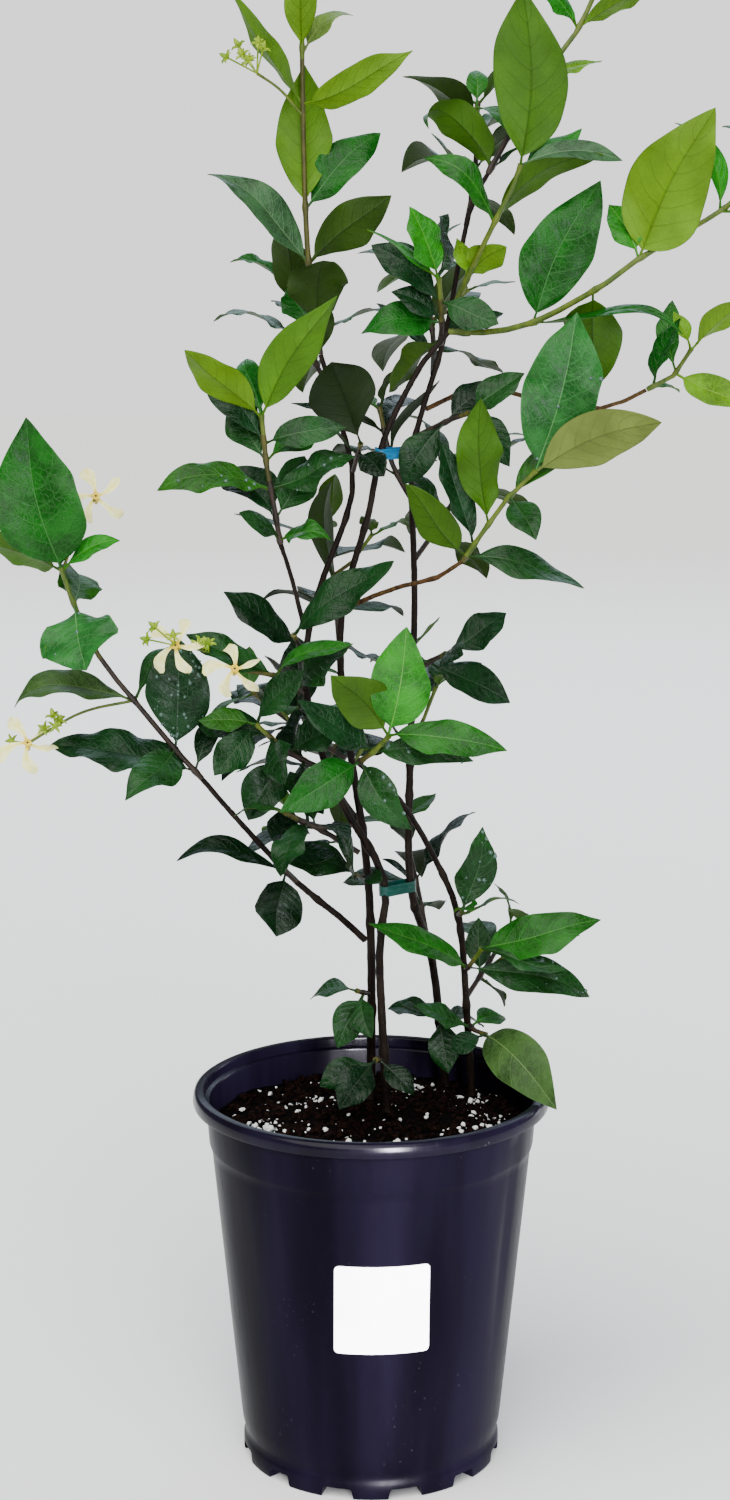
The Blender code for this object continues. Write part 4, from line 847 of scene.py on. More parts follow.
# Knots of the twigs at the back. A stem or bough has one for each stretch of KNOT_EVERY
BACK_KNOTS = [0.3, 0.53, 0.76, 0.985]
KNOT_EVERY = 44
KNOT_STEP = (30, 52)
BARK_SIDES = 14
YOUNG_LIMBS = ("bough_mid_right", "bough_far_right")

# Blade colours by age: name, upper side, underside, midrib, roughness of the upper side
TINTS = {
    "old": [("deep", (0.005, 0.038, 0.005), (0.020, 0.052, 0.001), (0.012, 0.052, 0.008), 0.28),
            ("inky", (0.003, 0.024, 0.005), (0.015, 0.039, 0.001), (0.008, 0.030, 0.009), 0.26)],
    "grown": [("glossy", (0.003, 0.062, 0.002), (0.026, 0.088, 0.001), (0.009, 0.086, 0.004), 0.30),
              ("leafy", (0.007, 0.074, 0.003), (0.033, 0.098, 0.001), (0.022, 0.118, 0.006), 0.32)],
    "young": [("bright", (0.008, 0.122, 0.003), (0.045, 0.128, 0.001), (0.030, 0.170, 0.006), 0.34),
              ("fresh", (0.012, 0.132, 0.004), (0.058, 0.140, 0.001), (0.050, 0.200, 0.010), 0.34)],
    "tender": [("limy", (0.085, 0.210, 0.001), (0.080, 0.174, 0.001), (0.110, 0.225, 0.004), 0.40),
                ("olive", (0.050, 0.145, 0.001), (0.060, 0.135, 0.001), (0.072, 0.165, 0.004),
                 0.40)],
    "odd": [("pear", (0.040, 0.135, 0.001), (0.058, 0.142, 0.003), (0.065, 0.175, 0.004), 0.40),
            ("mossy", (0.010, 0.066, 0.002), (0.028, 0.078, 0.001), (0.022, 0.095, 0.004), 0.36),
            ("ashen", (0.080, 0.145, 0.020), (0.118, 0.158, 0.030), (0.120, 0.170, 0.040), 0.45),
            ("worn", (0.026, 0.064, 0.012), (0.050, 0.090, 0.004), (0.070, 0.130, 0.030), 0.40),
            # The next two tints are partly painted sheen: their paler, bluish upper sides stand in
            # for the sky's sheen on wet leaves
            ("satin", (0.012, 0.088, 0.014), (0.040, 0.110, 0.006), (0.045, 0.150, 0.036), 0.28),
            ("misty_painted_sheen", (0.026, 0.072, 0.026), (0.045, 0.095, 0.010), (0.060, 0.120, 0.050), 0.30),
            # The last two tints are painted shade: darker greens for the leaves inside the lower
            # crown
            ("painted_shade_dark", (0.002, 0.022, 0.003), (0.010, 0.026, 0.001), (0.005, 0.022, 0.005), 0.27),
            ("painted_shade_darkest", (0.001, 0.011, 0.002), (0.006, 0.016, 0.001), (0.003, 0.012, 0.003), 0.25)],
}

# Sprays inside the lower crown, whose leaves are painted darker than elsewhere: painted shade where
# little light reaches
SHADY_SPRAYS = {
    "centre_left", "low_bough", "low_centre", "fork_left", "inner_left", "inner_right",
    "soil_front", "soil_right", "left_low", "centre_back", "crown_back", "back_low",
    "back_left_low", "back_right_low", "back_middle"}
# The darker tint that a leaf of such a spray takes in place of its own: painted shade
PAINTED_SHADE_TINTS = {"deep": "painted_shade_dark", "inky": "painted_shade_darkest", "glossy": "deep", "leafy": "mossy"}

# Leaves that differ in colour from the rest of their age, by their order along the twig. Some of
# them, with bluish paler upper sides, carry painted sheen
LEAF_TINTS = {
    "low_left": {3: "deep", 4: "worn", 6: "satin", 7: "mossy", 8: "glossy", 9: "leafy"},
    "mid_left": {0: "deep", 4: "mossy", 7: "leafy", 8: "deep", 10: "limy", 11: "bright"},
    "top_centre": {0: "limy", 1: "limy", 3: "mossy", 4: "leafy", 5: "bright", 6: "misty_painted_sheen"},
    "top_right": {0: "leafy", 2: "limy"},
    "high_right": {0: "glossy", 2: "leafy", 3: "limy", 4: "fresh", 5: "bright"},
    "high_left": {2: "misty_painted_sheen", 4: "pear", 6: "pear", 7: "limy", 8: "limy", 9: "ashen"},
    "mid_right": {0: "deep", 1: "mossy", 3: "leafy", 4: "mossy", 5: "deep", 6: "satin", 7: "ashen"},
    "front": {0: "glossy", 1: "deep", 3: "inky", 4: "mossy", 5: "fresh", 6: "leafy"},
    "right_upper": {0: "misty_painted_sheen", 1: "misty_painted_sheen"},
    "right_lower": {0: "leafy", 1: "deep", 2: "leafy", 3: "deep"},
    "crown_centre": {3: "inky", 7: "fresh"},
    "rim_right": {0: "deep", 2: "worn", 3: "inky"},
    "soil_left": {0: "deep"},
}

# Leaves whose tip hooks down, as a share of their length, and rolls over, and that lean, in degrees
LEAF_FORMS = {
    "high_left": {2: (0.10, -45), 6: (0.10, 25, 16), 7: (0.06, 75), 9: (0.15, 0)},
    "top_centre": {2: (0.12, 30), 3: (0.08, 70), 6: (0.05, -60)},
    "top_right": {0: (0.38, 0)},
    "mid_left": {4: (0.12, 30), 11: (-0.08, -35)},
    "low_left": {0: (0.14, 35), 4: (0.08, 15), 7: (0.05, 0, -30)},
    "far_right": {2: (0.10, 80)},
    "mid_right": {0: (0.03, 20), 7: (0.05, 30)},
    "right_lower": {1: (0.05, 40)},
}

# How many drops of water lie on a leaf
LEAF_DROPS = {"low_left": {2: 60, 6: 5}, "right_upper": {2: 16},
              "mid_left": {4: 8, 5: 8}, "mid_right": {6: 7},
              "front": {1: 10, 2: 8}, "right_lower": {1: 12}}

# The flower stalk that bears a cluster of buds, by its order on the spray
BUD_CLUSTERS = {"low_left": 0, "flowers": 1}

# Where along a twig its brown bark turns olive, and where that turns green
TWIG_SKINS = {"low_left": (0.62, 0.8), "mid_left": (0.5, 0.85),
              "high_left": (0.2, 0.75), "top_centre": (0.0, 0.05),
              "top_right": (0.25, 0.45), "high_right": (0.0, 0.0),
              "far_right": (0.0, 0.0), "mid_right": (0.0, 0.08),
              "front": (0.15, 0.4), "right_lower": (0.3, 0.55),
              "crown_centre": (0.4, 0.7), "flowers": (0.3, 0.9),
              "centre_left": (0.5, 0.8)}


def blade_faces(rows, columns):
    """Faces of a closed thin blade and whether each is upper side, underside or midrib."""
    across = len(columns) - 1
    below = (rows + 1) * (across + 1)

    def top(i, j):
        return i * (across + 1) + j

    def low(i, j):
        if j in (0, across):
            return top(i, j)
        return below + i * (across - 1) + j - 1

    faces, slots = [], []
    for i in range(rows):
        for j in range(across):
            slot_top = 2 if abs(columns[j] + columns[j + 1]) < 0.15 else 0
            faces.append((top(i, j), top(i, j + 1), top(i + 1, j + 1), top(i + 1, j)))
            slots.append(slot_top)
            faces.append((low(i, j + 1), low(i, j), low(i + 1, j), low(i + 1, j + 1)))
            slots.append(1)
    for i, turned in ((0, False), (rows, True)):
        for j in range(across):
            ring = [top(i, j + 1), top(i, j), low(i, j), low(i, j + 1)]
            ring = list(dict.fromkeys(ring[::-1] if turned else ring))
            faces.append(tuple(ring))
            slots.append(2)
    return faces, slots


def blade(line, side, normal, half, lift, depth, columns):
    """Points of a closed thin blade: a row across each place of its line, above and below."""
    a = np.array(columns)[None, :, None]
    top = (line[:, None] + side[:, None] * half[:, :, None] * np.sign(a)
           + normal[:, None] * lift[..., None])
    low = top[:, 1:-1] - normal[:, None] * depth[:, 1:-1, None]
    return np.concatenate([top.reshape(-1, 3), low.reshape(-1, 3)])


def blade_coordinates(rows, columns):
    """Places on the blade: across and along, the same above and below."""
    along = np.linspace(0, 1, rows + 1)
    across = (np.array(columns) + 1) / 2
    top = np.stack(np.meshgrid(across, along), axis=-1).reshape(-1, 2)
    low = np.stack(np.meshgrid(across[1:-1], along), axis=-1).reshape(-1, 2)
    return np.concatenate([top, low])


def past(share, start, end=1.0):
    """0 before a start, 1 after an end and an even rise between them."""
    return np.clip((share - start) / (end - start), 0, 1)


def leaf_rows(shape):
    """How many rows of faces a leaf has along its blade."""
    return max(LEAST_ROWS, round(shape["length"] / ROW_LENGTH))


def leaf_line(base, ahead, upper, shape, share, chance, hook, roll, lean):
    """A leaf's midline with its curled or hooked tip, and its directions across and upwards."""
    length = shape["length"]
    ahead, upper = np.array(ahead), np.array(upper)
    across = np.cross(ahead, upper)
    bend = math.radians(shape["bend"]) or 0.01
    rest = bend / 2 - bend * share
    line = np.array(base) + length / bend * (
        np.outer(math.sin(bend / 2) - np.sin(rest), ahead)
        + np.outer(np.cos(rest) - math.cos(bend / 2), upper))
    normal = np.outer(np.cos(rest), upper) - np.outer(np.sin(rest), ahead)

    curl = chance.choice(CURL_WAYS) * chance.uniform(0, TIP_CURL) * length * past(share, 0.55) ** 2
    end = past(share, 0.5)
    curl = curl + hook * length * end ** 2
    sink = chance.uniform(-LINE_SINK, LINE_SINK) * length * np.sin(math.tau * share)
    sway = chance.uniform(-LINE_SWAY, LINE_SWAY) * length * np.sin(math.pi * share) ** 1.2
    line = line - normal * (curl + sink)[:, None] + across * sway[:, None]
    twist = math.radians(chance.uniform(-LEAF_TWIST, LEAF_TWIST)) * (share - 0.35)
    twist = twist + np.radians(lean + roll * end ** 1.3)
    side = across * np.cos(twist)[:, None] + normal * np.sin(twist)[:, None]
    normal = normal * np.cos(twist)[:, None] - across * np.sin(twist)[:, None]
    return line, side, normal


def leaf_halves(shape, share, chance):
    """Widths left and right of the midrib, uneven and down to the stalk, and the last outline."""
    blade_share = past(share, PETIOLE / shape["length"])
    aged = shape["age"] == "old"
    point = chance.uniform(*(OLD_POINT if aged else POINT))
    halves = []
    for _ in range(2):
        fullest = (OLD_FULLER if aged else 0) + chance.uniform(*FULLEST)
        outline = np.array([blade_width(t ** fullest) for t in blade_share])
        outline *= 1 - point * past(share, 0.78) ** 1.5
        halves.append(np.maximum(shape["width"] / 2 * outline,
                                 PETIOLE_RADIUS * np.clip(1.1 - share, 0.15, 1)))
    return *halves, outline


def fine_leaf(base, ahead, upper, shape, chance, hook=0.0, roll=0.0, lean=0.0):
    """A thin wavy blade with a midrib on a short stalk, along the line of its coarse solid."""
    rows = leaf_rows(shape)
    share = np.linspace(0, 1, rows + 1)
    along = share[:, None]
    line, side, normal = leaf_line(base, ahead, upper, shape, share, chance, hook, roll, lean)
    left, right, outline = leaf_halves(shape, share, chance)
    half = ((left + right) / 2)[:, None]

    # The middle columns keep to the midrib, and the next ones stay clear of it
    a = np.array(LEAF_COLUMNS)[None, :]
    rib = np.clip(RIB_RADIUS * (1.1 - 0.8 * along) / half, 0.01, 0.3)
    place = np.where(np.abs(a) < 0.1, np.sign(a) * rib, a)
    beside = (np.abs(a) > 0.1) & (np.abs(a) < 0.4)
    place = np.where(beside, np.sign(a) * np.maximum(0.30, rib + 0.04), place)
    out = np.abs(place)

    # Waves run along each edge and make its outline uneven
    phase = np.where(a < 0, chance.uniform(0, math.tau), chance.uniform(0, math.tau))
    waves = chance.uniform(*EDGE_WAVES)
    wave = np.sin(math.tau * waves * along + phase)
    wave = wave + 0.22 * np.sin(math.tau * 2.3 * waves * along + 1.7 * phase)
    uneven = 1 - 0.04 * wave * np.sin(math.pi * along)
    reach = out * np.where(a < 0, left[:, None], right[:, None]) * uneven

    # The blade folds up from the midrib, arches over, waves and bulges between its veins
    fold = math.tan(math.radians(chance.uniform(*BLADE_FOLD)))
    arch = chance.uniform(*BLADE_ARCH)
    lift = fold * reach * (1 - arch * out) - 0.05 * half * out ** 6
    swing = chance.uniform(*WAVE_SWING) * shape["width"] * np.sin(math.pi * along) ** 0.6
    lift = lift + swing * out ** 2.2 * wave
    bulges = chance.uniform(*VEIN_PAIRS)
    ribbing = np.cos(math.tau * bulges * (along - 0.15 * out) + chance.uniform(0, 6))
    lift = lift + 0.045 * ribbing * np.sin(math.pi * out) * (outline[:, None] > 0.2)
    lift = lift + PETIOLE_RADIUS * np.clip(1 - along / 0.1, 0, 1) * np.cos(place * math.pi / 2)

    stalk = np.clip(1 - along / (1.6 * PETIOLE / shape["length"]), 0, 1)
    depth = LEAF_SHEET + (2 * PETIOLE_RADIUS - LEAF_SHEET) * stalk
    depth = depth + 0.25 * np.exp(-(reach / 0.4) ** 2) * np.clip(1.1 - along, 0, 1)
    points = blade(line, side, normal, reach, lift, depth, LEAF_COLUMNS)
    faces, slots = blade_faces(rows, LEAF_COLUMNS)
    return points, faces, slots, blade_coordinates(rows, LEAF_COLUMNS)


def ring_frames(points):
    """Each point of a line with two directions square to the line there, without twist."""
    side = Vector((1, 0, 0))
    for index, point in enumerate(points):
        ahead = (points[min(index + 1, len(points) - 1)] - points[max(index - 1, 0)]).normalized()
        if abs(side.dot(ahead)) > 0.95:
            side = ahead.orthogonal()
        side = (side - side.dot(ahead) * ahead).normalized()
        yield point, side, ahead.cross(side)


def tube(points, radii, sides, slot=0):
    """A round rod along a line, closed at both ends."""
    points, faces = loft([circle(point, radius, side, other, sides)
                          for (point, side, other), radius in zip(ring_frames(points), radii)])
    return np.array(points), faces, [slot] * len(faces), np.zeros((len(points), 2))


def knotted(route, girth, knots, step, swell=0.35, reach=2.0):
    """A limb's line and radii, tapering and a little thicker at its knots."""
    count = max(3, round(route.length / step))
    places = [route.place(index / count)[0] for index in range(count + 1)]
    radii = []
    for index in range(count + 1):
        share = index / count
        radius = girth[0] + (girth[1] - girth[0]) * share
        bulge = sum(math.exp(-((share - knot) * route.length / reach) ** 2) for knot in knots)
        radii.append(radius * (1 + swell * min(bulge, 1.0)))
    return places, radii


def petal_shapes(centre, axis, chance):
    """The five twisted petals of a pinwheel flower."""
    side, other = crosswise(axis)
    start = chance.uniform(0, math.tau)
    share = np.linspace(0, 1, PETAL_ROWS + 1)
    along, a = share[:, None], np.array(PETAL_COLUMNS)[None, :]
    faces, slots = blade_faces(PETAL_ROWS, PETAL_COLUMNS)
    for petal in range(PETALS):
        turn = start + math.tau * (petal + chance.uniform(-0.06, 0.06)) / PETALS
        swirl = turn + PETAL_SWIRL * share
        radius = 1.0 + (PETAL_REACH * chance.uniform(0.9, 1.0) - 1.0) * along
        out = np.outer(np.cos(swirl), side) + np.outer(np.sin(swirl), other)
        across = np.outer(-np.sin(swirl), side) + np.outer(np.cos(swirl), other)
        droop = 0.8 * share - chance.uniform(*PETAL_DROOP) * share ** 2
        line = np.array(centre) + out * radius + np.outer(droop, axis)
        roll = math.radians(chance.uniform(*PETAL_ROLL)) * share
        normal = np.outer(np.cos(roll), axis) + across * np.sin(roll)[:, None]
        across = across * np.cos(roll)[:, None] - np.outer(np.sin(roll), axis)
        half = 0.65 + 3.1 * past(along, 0, 0.8) ** 1.8 - 1.9 * past(along, 0.82) ** 2
        reach = np.abs(a) * half * (1 + 0.3 * a * along)
        ripple = 0.7 * np.sin(math.tau * 1.2 * along + chance.uniform(0, 6))
        lift = (ripple * a - 0.5 * a ** 2) * along
        depth = np.full_like(lift, PETAL_SHEET)
        points = blade(line, across, normal, reach, lift, depth, PETAL_COLUMNS)
        yield points, faces, [0] * len(slots), blade_coordinates(PETAL_ROWS, PETAL_COLUMNS)


def bud_shapes(start, tip, chance):
    """A closed bud on its stalk, in a star of five spreading sepals."""
    ahead = (tip - start).normalized()
    side, other = crosswise(ahead)
    places = [start] + [tip - back * ahead for back in BUD_PLACES]
    yield tube(places, BUD_RADII, 8, 2)
    for sepal in range(SEPALS):
        turn = math.tau * (sepal + chance.uniform(-0.15, 0.15)) / SEPALS
        out = math.cos(turn) * side + math.sin(turn) * other
        heel = tip - 4.6 * ahead + 0.3 * out
        places = [heel + reach * out + rise * ahead for reach, rise in SEPAL_PLACES]
        yield tube(places, SEPAL_RADII, 5, 2)


def calyx_cluster(route, chance):
    """Buds on short stalks along the second half of a flower stalk."""
    for _ in range(CLUSTER_BUDS):
        start, ahead = route.place(chance.uniform(0.5, 0.85))
        line = 0.4 * ahead + direction(chance.uniform(0, 360), chance.uniform(10, 80))
        line.normalize()
        yield from bud_shapes(start, start + chance.uniform(*CLUSTER_STALK) * line, chance)


def drop_shapes(points, rows, count, chance):
    """Drops of water on a leaf's upper side."""
    across = len(LEAF_COLUMNS)
    for _ in range(count):
        i, j = chance.randrange(2, rows - 1), chance.randrange(1, across - 1)
        here, onward, beside = (Vector(points[corner]) for corner in (
            i * across + j, (i + 1) * across + j, i * across + j + 1))
        spot = here + chance.random() * (onward - here) + chance.random() * (beside - here)
        up = (beside - here).cross(onward - here).normalized()
        size = DROP_RADIUS * chance.uniform(0.35, 1.0) ** 1.6
        yield tube([spot - 0.15 * up, spot + 0.3 * size * up, spot + 0.65 * size * up],
                   (size, 0.85 * size, 0.35 * size), 9)


class Sheaf:
    """Many small closed shapes gathered into one piece."""

    def __init__(self, name, node_names, slot, finishes):
        self.name, self.node_names, self.slot, self.finishes = name, node_names, slot, finishes
        self.points, self.faces, self.slots, self.places = [], [], [], []
        self.count = 0

    def add(self, points, faces, slots, places):
        self.points.append(points)
        self.faces += [tuple(self.count + corner for corner in face) for face in faces]
        self.slots += slots
        self.places.append(places)
        self.count += len(points)

    def make(self):
        if not self.points:
            return
        mesh = bpy.data.meshes.new(self.name)
        mesh.from_pydata(np.concatenate(self.points) * MM, [], self.faces)
        places = np.concatenate(self.places)
        corners = np.empty(len(mesh.loops), dtype=np.int32)
        mesh.loops.foreach_get("vertex_index", corners)
        layer = mesh.uv_layers.new(name="blade")
        layer.data.foreach_set("uv", places[corners].astype(np.float32).ravel())
        for finish in self.finishes:
            mesh.materials.append(finish.material)
        mesh.polygons.foreach_set("material_index", self.slots)
        mesh.shade_smooth()
        mesh.set_sharp_from_angle(angle=math.radians(62))
        settle(mesh, self.name, self.node_names, self.slot)


def placed(name, data):
    """A new object in the scene."""
    thing = bpy.data.objects.new(name, data)
    bpy.context.scene.collection.objects.link(thing)
    return thing


def settle(mesh, name, node_names, slot):
    """A finished mesh as a piece of the part, in place of its plain solids."""
    piece = placed(name, mesh)
    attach(piece, "root")
    if node_names:
        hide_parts(*node_names)


class Wire:
    """A value on its way through a finish. Sums and products of wires add Math nodes."""

    def __init__(self, finish, socket):
        self.finish, self.socket = finish, socket

    def maths(self, operation, *values):
        """The value after a sum, a product or a function."""
        return self.finish.add("ShaderNodeMath", {"operation": operation},
                               dict(enumerate(values)))

    def __add__(self, other):
        return self.maths("ADD", self, other)

    def __mul__(self, other):
        return self.maths("MULTIPLY", self, other)

    def __sub__(self, other):
        return self.maths("SUBTRACT", self, other)

    def __rsub__(self, other):
        return self.maths("SUBTRACT", other, self)

    def __pow__(self, power):
        return self.maths("POWER", self, power)

    def __abs__(self):
        return self.maths("ABSOLUTE", self)

    __radd__, __rmul__ = __add__, __mul__

    def cosine(self):
        return self.maths("COSINE", self)

    def between(self, low, high):
        """0 below low, 1 above high and a soft step between them."""
        return self.finish.add("ShaderNodeMapRange", {"interpolation_type": "SMOOTHSTEP"},
                               {"Value": self, "From Min": low, "From Max": high})


class Finish:
    """A material, with its plain values set on the shader and its patterns fed to it."""

    def __init__(self, name, colour, roughness, constants=()):
        self.material = bpy.data.materials.new(name)
        self.material.use_nodes = True
        self.tree = self.material.node_tree
        self.shader = self.tree.nodes["Principled BSDF"]
        values = {"Base Color": (*colour, 1.0), "Roughness": roughness, **dict(constants)}
        for socket, value in values.items():
            self.shader.inputs[socket].default_value = value

    def add(self, kind, settings=(), inputs=(), output=0):
        """One node, its settings first and then its sockets. The result is one of its outputs."""
        node = self.tree.nodes.new(kind)
        for name, value in dict(settings).items():
            setattr(node, name, value)
        for key, value in dict(inputs).items():
            if isinstance(value, Wire):
                self.tree.links.new(value.socket, node.inputs[key])
            else:
                node.inputs[key].default_value = value
        return Wire(self, node.outputs[output])

    def feed(self, socket, wire):
        """Put a pattern behind one of the shader's sockets."""
        self.tree.links.new(wire.socket, self.shader.inputs[socket])

    def place(self, stretch):
        """Where a point lies on the part, stretched for a pattern."""
        spot = self.add("ShaderNodeTexCoord", output="Object")
        return self.add("ShaderNodeMapping", {}, {"Vector": spot, "Scale": stretch})

    def blade(self):
        """Where a point lies on its leaf or petal: across it and along it, from 0 to 1."""
        spot = self.add("ShaderNodeUVMap", {"uv_map": "blade"})
        return [self.add("ShaderNodeSeparateXYZ", {}, {0: spot}, axis) for axis in (0, 1)]

    def noise(self, scale, detail, stretch=(1, 1, 1), roughness=0.5):
        """A soft random pattern."""
        return self.add("ShaderNodeTexNoise", {}, {
            "Vector": self.place(stretch), "Scale": scale, "Detail": detail,
            "Roughness": roughness})

    def cells(self, scale, stretch=(1, 1, 1), **settings):
        """How far a point is from the middle of its cell, or from what the settings name."""
        return self.add("ShaderNodeTexVoronoi", settings, {
            "Vector": self.place(stretch), "Scale": scale})

    def tint(self, amount, *colours):
        """A colour between two, each a wire or three numbers."""
        first, second = (side if isinstance(side, Wire) else (*side, 1.0) for side in colours)
        return self.add("ShaderNodeMix", {"data_type": "RGBA"},
                        {0: amount, 6: first, 7: second}, 2)

    def relief(self, height, distance, strength):
        """Bumps as high as a pattern says."""
        self.feed("Normal", self.add("ShaderNodeBump", {}, {
            "Strength": strength, "Distance": distance, "Height": height}))


def shaded(colour, factor, grey=0.0):
    """A colour made darker or lighter, with a little grey added."""
    return tuple(channel * factor + grey for channel in colour)


# How many side veins lie between a blade's foot and its tip
SIDE_VEINS = 8.3


def blade_veins(finish):
    """Side veins that leave the midrib at uneven steps, and how far a place is from the midrib."""
    across, along = finish.blade()
    side = abs(across * 2 - 1)
    drift = finish.noise(38, 2.0)
    path = along - side * 0.13 - side * side * 0.09 + drift * 0.11
    veins = (path * (SIDE_VEINS * math.tau)).cosine()
    return veins * 0.5 + 0.5, side


def vein_net(finish):
    """The fine net between the side veins: 1 on its lines."""
    return 1 - finish.cells(380, feature="DISTANCE_TO_EDGE").between(0.02, 0.13)


def leaf_upper(name, colour, roughness):
    """The glossy upper side: fine paler veins with a net between them, a mottled green with pale
    blotches that are partly painted sheen, and a painted highlight along the rolled edge.
    """
    finish = Finish(name, colour, roughness, {"Specular IOR Level": 0.15})
    veins, side = blade_veins(finish)
    vein = veins ** 34 * (1 - side * 0.7)
    net = vein_net(finish)
    cloud = finish.noise(70, 3.0)
    # Pale blotches, partly painted sheen: the patchy shine of a water film
    blotch = finish.noise(190, 4.0, roughness=0.65)
    # A mottled green of uneven tone, its contrast raised to stand in part for patchy sheen: partly
    # painted sheen
    green = finish.tint(cloud.between(0.35, 0.7), shaded(colour, 0.62), shaded(colour, 1.32))
    # How much grey the paler layers add, to veins and painted sheen alike, by how green the leaf is
    vein_and_sheen_grey = min(1, colour[1] / 0.038)
    # Paler layers: blotches that are partly painted sheen, the vein net, the side veins, and a
    # painted highlight along the rolled edge
    for mask, amount, factor, grey in (
            (blotch.between(0.48, 0.72), 0.5, 1.5, 0.003), (net, 0.22, 1.7, 0.008),
            (vein, 0.34, 1.9, 0.016), (side.between(0.93, 1.0), 0.3, 1.8, 0.012)):
        green = finish.tint(mask * amount, green, shaded(colour, factor, grey * vein_and_sheen_grey))
    finish.feed("Base Color", green)
    finish.feed("Roughness", blotch * 0.18 + cloud * 0.10 + (roughness - 0.12))
    height = cloud * 1.1 - vein * 0.5 - net * 0.22 + veins * 0.3 + blotch * 0.45
    finish.relief(height, 0.0006, 0.65)
    return finish


def leaf_under(name, colour):
    """The dull underside: darker midrib and side veins with a faint net between them."""
    finish = Finish(name, colour, 0.55, {"Specular IOR Level": 0.15})
    veins, side = blade_veins(finish)
    vein = veins ** 30 * (1 - side * 0.6)
    rib = 1 - side.between(0.04, 0.12)
    net = vein_net(finish)
    cloud = finish.noise(60, 3.0)
    blotch = finish.noise(170, 3.0)
    green = finish.tint(cloud.between(0.3, 0.72), shaded(colour, 0.84), shaded(colour, 1.16))
    for mask, amount, factor in (
            (blotch.between(0.5, 0.75), 0.25, 1.3), (net, 0.12, 0.7), (vein, 0.40, 0.55),
            (side.between(0.94, 1.0), 0.45, 0.5), (rib, 0.6, 0.48)):
        green = finish.tint(mask * amount, green, shaded(colour, factor))
    finish.feed("Base Color", green)
    finish.relief(vein * 0.6 + rib * 0.8 + cloud * 0.5 + net * 0.2, 0.0004, 0.6)
    return finish


def stalky(name, colour, second, roughness=0.5):
    """Young green or brown skin of twigs, stalks and midribs."""
    finish = Finish(name, colour, roughness, {"Specular IOR Level": 0.3})
    streak = finish.noise(260, 3.0, (1, 1, 0.35))
    finish.feed("Base Color", finish.tint(streak.between(0.35, 0.65), colour, second))
    finish.relief(streak, 0.0003, 0.5)
    return finish


def petal_finish():
    """Cream petals, yellow towards the throat, with faint long veins."""
    finish = Finish("petal_cream", (0.86, 0.86, 0.40), 0.5, {"Specular IOR Level": 0.2})
    across, along = finish.blade()
    streak = finish.noise(420, 2.0)
    cream = finish.tint(streak.between(0.35, 0.65), (0.90, 0.89, 0.46), (0.82, 0.80, 0.30))
    middle = 1 - abs(across * 2 - 1).between(0.0, 0.5)
    cream = finish.tint(middle * (1 - along) * 0.9, cream, (0.76, 0.64, 0.03))
    finish.feed("Base Color", finish.tint(along.between(0.02, 0.34), (0.66, 0.50, 0.005), cream))
    finish.relief(streak, 0.0002, 0.5)
    return finish


def bark_finish(name, dark, light, patched):
    """Bark with fine long cracks and pale breathing pores."""
    finish = Finish(name, light, 0.62, {"Specular IOR Level": 0.1})
    crack = finish.noise(420, 4.0, (1, 1, 0.16), 0.65)
    patch = finish.noise(45, 2.0)
    dots = 1 - finish.cells(420, (1, 1, 0.7)).between(0.10, 0.22)
    brown = finish.tint(crack.between(0.3, 0.7), dark, light)
    brown = finish.tint(patch.between(0.45, 0.75) * 0.7, brown, patched)
    finish.feed("Base Color", finish.tint(dots * 0.35, brown, shaded(patched, 2, 0.01)))
    finish.feed("Roughness", crack * 0.3 + 0.42)
    finish.relief(crack + dots * 0.5, 0.0005, 0.8)
    return finish


def pot_finish(name, gloss, rough):
    """Blue-black moulded plastic with pale flow streaks that are partly painted reflection of long
    highlights, fine scuffs and specks of dust.
    """
    finish = Finish(name, (0.0014, 0.0010, 0.0027), rough, {"Specular IOR Level": gloss})
    streak = finish.noise(26, 3.0, (1, 1, 0.06))
    scuff = finish.noise(240, 4.0, (1, 1, 0.25), 0.7)
    wide = finish.noise(9, 2.0)
    speck = 1 - finish.cells(260).between(0.05, 0.16)
    dust = speck * finish.noise(38, 2.0).between(0.56, 0.74)
    # Paler vertical streaks: flow marks of the moulding, and partly painted reflection standing in
    # for the long highlights down the wall
    colour = finish.tint(streak.between(0.3, 0.7), (0.0006, 0.0004, 0.0012),
                         (0.0022, 0.0016, 0.0042))
    finish.feed("Base Color", finish.tint(dust * 0.4, colour, (0.030, 0.028, 0.032)))
    finish.feed("Roughness", wide * 0.14 + scuff.between(0.45, 0.8) * 0.10 + (rough - 0.07))
    finish.relief(streak * 1.2 + scuff * 0.12 + wide * 1.2, 0.0009, 0.35)
    return finish


def crumb_finish(name, dark, light, scale):
    """Rough crumbs in two shades."""
    finish = Finish(name, dark, 0.95, {"Specular IOR Level": 0.02})
    grain = finish.noise(scale, 4.0, roughness=0.6)
    finish.feed("Base Color", finish.tint(grain.between(0.35, 0.75), dark, light))
    finish.relief(grain, 0.0012, 0.8)
    return finish


def tape_finish(name, colour):
    """Stretchy plastic tape, paler where it is stretched, with fine lines along it."""
    finish = Finish(name, colour, 0.36, {"Specular IOR Level": 0.2})
    line = finish.noise(420, 3.0, (0.4, 0.4, 4))
    pale = finish.noise(210, 2.0)
    stretched = finish.tint(pale.between(0.45, 0.75) * 0.4, colour, shaded(colour, 1.1, 0.03))
    finish.feed("Base Color", finish.tint(line.between(0.3, 0.7), shaded(colour, 0.7), stretched))
    finish.relief(line + pale, 0.0004, 0.7)
    return finish


